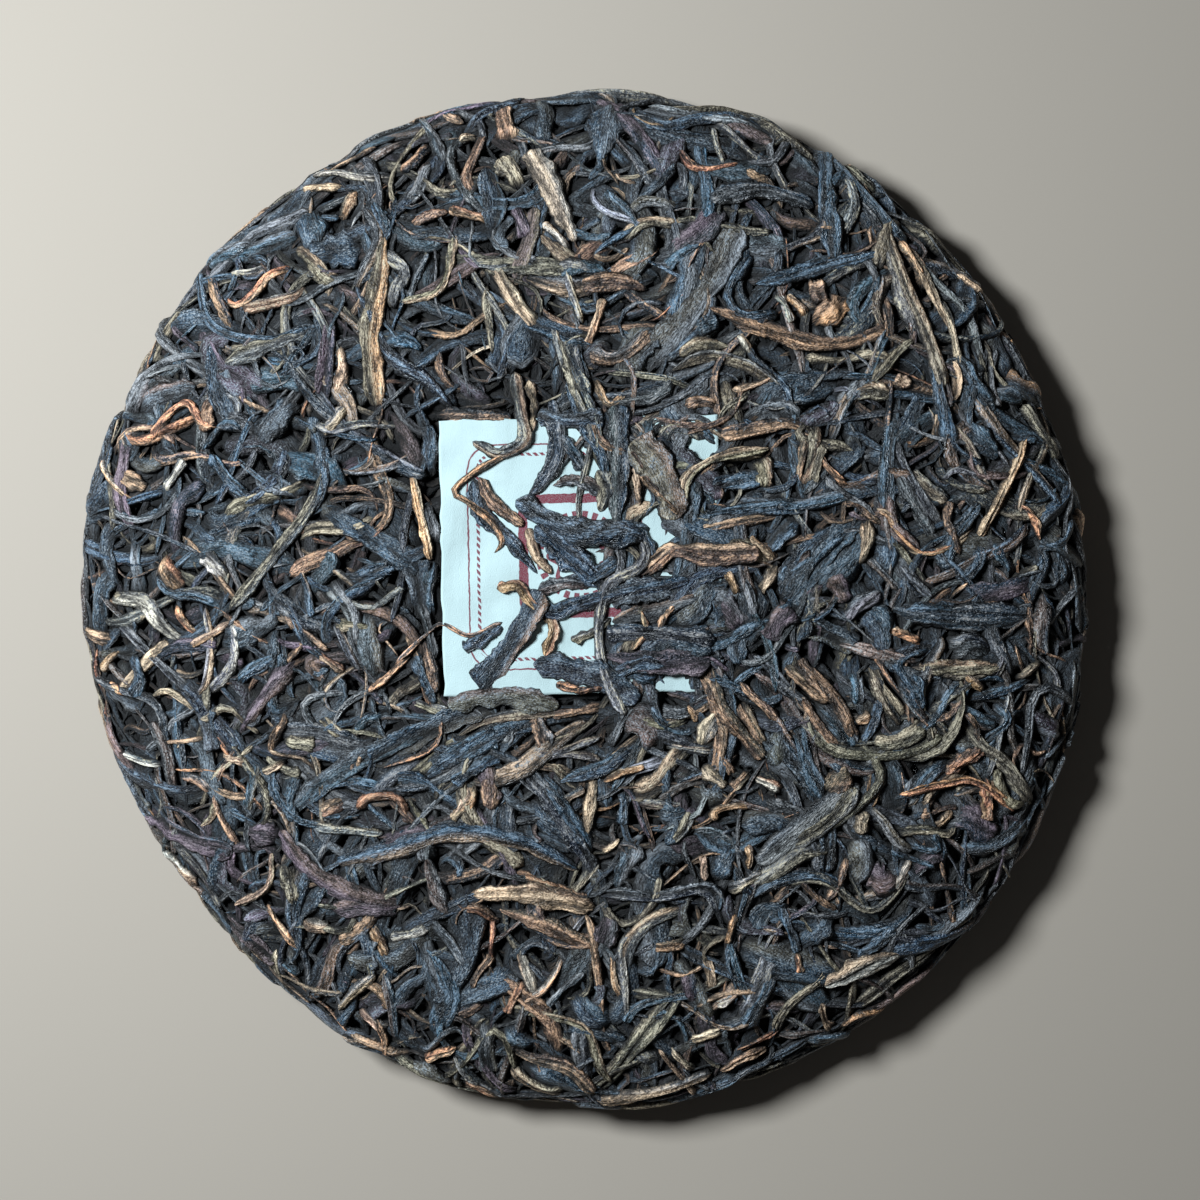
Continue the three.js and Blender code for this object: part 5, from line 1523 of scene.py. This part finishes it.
ticketLeaves = {
    ("ink_twists", "ink", "charcoal"): [(5.6, 516, 500, 563, 528, 599, 533, 650, 528),
        (3.0, 556, 584, 590, 576, 620, 560)],
    ("ink_twists", "ink", "slate"): [(2.6, 566, 384, 580, 420, 604, 462, 600, 500)],
    ("ink_twists", "ink", "soot"): [(3.6, 474, 478, 482, 512, 515, 546, 538, 574),
        (5.2, 535, 526, 566, 553, 604, 589), (4.0, 616, 672, 640, 664, 668, 664)],
    ("ink_twists", "soot", "charcoal"): [(4.4, 537, 416, 570, 421, 604, 418)],
    ("ink_twists", "soot", "ink"): [(3.6, 533, 590, 552, 614, 579, 604, 619, 594, 690, 580),
        (3.0, 463, 648, 482, 640, 502, 626), (2.4, 617, 523, 642, 533, 655, 559)],
    ("charcoal_twists", "bark", "charcoal"): [(3.0, 538, 590, 565, 584, 592, 586)],
    ("charcoal_twists", "charcoal", "bark"): [(3.0, 553, 486, 574, 480, 596, 488, 610, 502)],
    ("charcoal_twists", "charcoal", "brown"): [(1.4, 556, 472, 573, 451, 589, 431)],
    ("charcoal_twists", "charcoal", "ink"): [(4.8, 617, 405, 619, 456, 617, 535),
        (2.4, 612, 520, 622, 560, 612, 596)],
    ("charcoal_twists", "ink", "charcoal"): [(4.0, 553, 400, 558, 444, 553, 469, 528, 498)],
    ("charcoal_twists", "ink", "slate"): [(3.0, 540, 412, 560, 436, 584, 470)],
    ("charcoal_twists", "soot", "ink"): [(5.0, 606, 634, 655, 633, 716, 640)],
    ("broad_leaves", "charcoal", "soot"): [(5.0, 610, 600, 640, 590, 672, 592)],
    ("broad_leaves", "ink", "brown"): [(6.2, 541, 590, 515, 640, 481, 690)],
    ("broad_leaves", "ink", "soot"): [(5.4, 640, 650, 676, 640, 712, 652)],
    ("broad_leaves", "moss", "bark"): [(5.4, 448, 704, 505, 697, 560, 706)],
    ("broad_leaves", "olive", "brown"): [(7.4, 631, 443, 660, 472, 677, 520)],
    ("broad_leaves", "soot", "ink"): [(6.0, 533, 664, 566, 668, 604, 678, 640, 700)],
    ("plum_leaves", "plum", "soot"): [(5.0, 604, 656, 655, 663, 711, 662)],
    ("olive_leaves", "ash", "brown"): [(3.0, 515, 372, 521, 410, 526, 440, 501, 455, 473, 442)],
    ("olive_leaves", "ash", "charcoal"): [
        (3.2, 634, 528, 647, 550, 640, 568, 612, 582, 602, 610, 600, 640, 606, 672, 626, 716)],
    ("olive_leaves", "ash", "ink"): [(2.2, 584, 388, 596, 420, 598, 452)],
    ("olive_leaves", "ash", "moss"): [(1.6, 576, 390, 591, 431, 589, 456, 579, 500, 580, 530)],
    ("olive_leaves", "moss", "charcoal"): [(3.6, 598, 470, 606, 490, 600, 512)],
    ("olive_leaves", "moss", "olive"): [(1.3, 604, 546, 628, 548, 642, 562, 638, 574)],
    ("olive_leaves", "olive", "ash"): [(2.2, 571, 640, 595, 631, 612, 618)],
    ("olive_leaves", "olive", "tan"): [(2.8, 683, 510, 686, 480, 716, 459, 770, 449)],
    ("brown_leaves", "bark", "brown"): [(2.8, 480, 477, 493, 501, 524, 526)],
    ("brown_leaves", "bark", "charcoal"): [(2.5, 436, 414, 470, 415, 512, 418)],
    ("brown_leaves", "bark", "tan"): [(4.4, 640, 575, 668, 552, 712, 556, 760, 553)],
    ("brown_leaves", "brown", "bark"): [(2.0, 593, 410, 602, 442, 633, 457, 646, 480, 679, 515)],
    ("brown_leaves", "brown", "tan"): [(3.0, 647, 574, 662, 560, 681, 545)],
    ("golden_tips", "gold", "rust"): [(3.0, 497, 589, 517, 586, 533, 604, 553, 627, 545, 657)],
    ("golden_tips", "tan", "brown"): [(2.4, 528, 528, 538, 556, 552, 574),
        (1.6, 634, 466, 637, 484, 640, 506), (2.2, 529, 380, 535, 408, 530, 440)],
    ("rust_stems", "bark", "ash"): [(1.2, 395, 664, 426, 635, 443, 624, 471, 635, 503, 622)],
    ("rust_stems", "bark", "soot"): [(1.8, 556, 684, 580, 690, 604, 688)],
    ("rust_stems", "brown", "tan"): [
        (1.9, 512, 452, 476, 472, 455, 492, 470, 503, 490, 520, 503, 540, 494, 554)],
    ("rust_stems", "tan", "brown"): [(1.5, 674, 606, 664, 618, 659, 632)],
    ("rust_stems", "tan", "rust"): [(1.6, 641, 610, 646, 630, 632, 650)],
}


listed = {"vary": 0.35, "toneSplit": (-0.1, 0.6), "toneTurn": (-0.3, 0.3)}


# The properties of listed leaves: the kind's ranges, the listed tints and widths, and the length of the
# listed midrib. Their tones divide near the middle
def leavesFromList(groups):
    rows = [(*look, *row) for look, group in groups.items() for row in group]
    leaves = {
        "kind": np.array([kindNames.index(row[0]) for row in rows]),
        "tint": linear([colours[row[1]] for row in rows]),
        "second": linear([colours[row[2]] for row in rows]),
        "width": np.array([row[3] for row in rows], float)}
    routes = [fromPhoto(np.reshape(row[4:], (-1, 2))) for row in rows]
    leaves["length"] = np.array([np.hypot(*np.diff(route, axis=0).T).sum() for route in routes])
    for key in ("thick", "pleats"):
        low, high = (np.array([kinds[row[0]][key][end] for row in rows]) for end in (0, 1))
        leaves[key] = low + (high - low) * random.random(len(rows))
    leaves = addCharacter(leaves, listed["vary"])
    for key in ("toneSplit", "toneTurn"):
        leaves[key] = random.uniform(*listed[key], len(rows))
    return leaves, routes


def layListed(groups, rule):
    rule = {**plainRule, **rule}
    leaves, routes = leavesFromList(groups)
    shape = settle(bed, shapeLeaves(leaves, routedPaths(routes, rule["stations"]), rule["across"]), rule)
    for number, name in enumerate(kindNames):
        keep(name, face, shape, leaves["kind"] == number)


layListed(middleLeaves, {"stations": 14, "across": 9, "level": -0.25, "give": 0.5, "highest": 1.6,
                         "diveShare": 0.9})
layListed(largeLeaves, {"stations": 26, "across": 13, "level": -0.15, "give": 0.5, "ride": 0.2,
                        "highest": 1.75, "diveShare": 0.5})
layListed(ticketLeaves, {"stations": 28, "across": 13, "level": None, "ride": 0.35, "highest": 1.9,
                         "diveShare": 0.2, "lift": 0.3})
print("listed leaves")

# The underside: the same leaves pressed flat on the table
underBed = core["underLevel"] + core["underBumps"] * smoothField(core["bumpSpacing"])
underPieces = {"underside_broad": ["broad_leaves", "plum_leaves", "brown_leaves", "golden_tips"],
               "underside_leaves": ["ink_twists", "charcoal_twists", "olive_leaves", "rust_stems"]}
baseOuter = base["toRim"] - 1.0            # and stop just short of it underneath
underLayers = [
    {"spacing": 7.4, "outer": baseOuter, "stations": 6, "across": 5, "level": -1.7, "rimWidth": 8,
     "highest": -0.2, "blades": 12, "widthShare": 1.5},
    {"spacing": 8.6, "outer": baseOuter, "stations": 8, "across": 5, "level": -1.1, "rimWidth": 8,
     "highest": 0.0, "blades": 5, "widthShare": 1.2},
    {"spacing": 9.4, "outer": baseOuter, "stations": 10, "across": 7, "level": -0.7, "rimWidth": 8,
     "highest": 0.0, "blades": 1.6},
]
for rule in underLayers:
    layLayer(base, underBed, rule, lowest=0.0, pieceFor=underPieces)
print("underside")

levels = {1: blurred(bed, crevices["reach"]), -1: blurred(underBed, crevices["reach"])}
for piece in list(waiting):
    joinLeaves(piece, leafMaterial(piece + "_finish", {**plainLook, **looks[piece]}), levels)
print("leaf meshes")
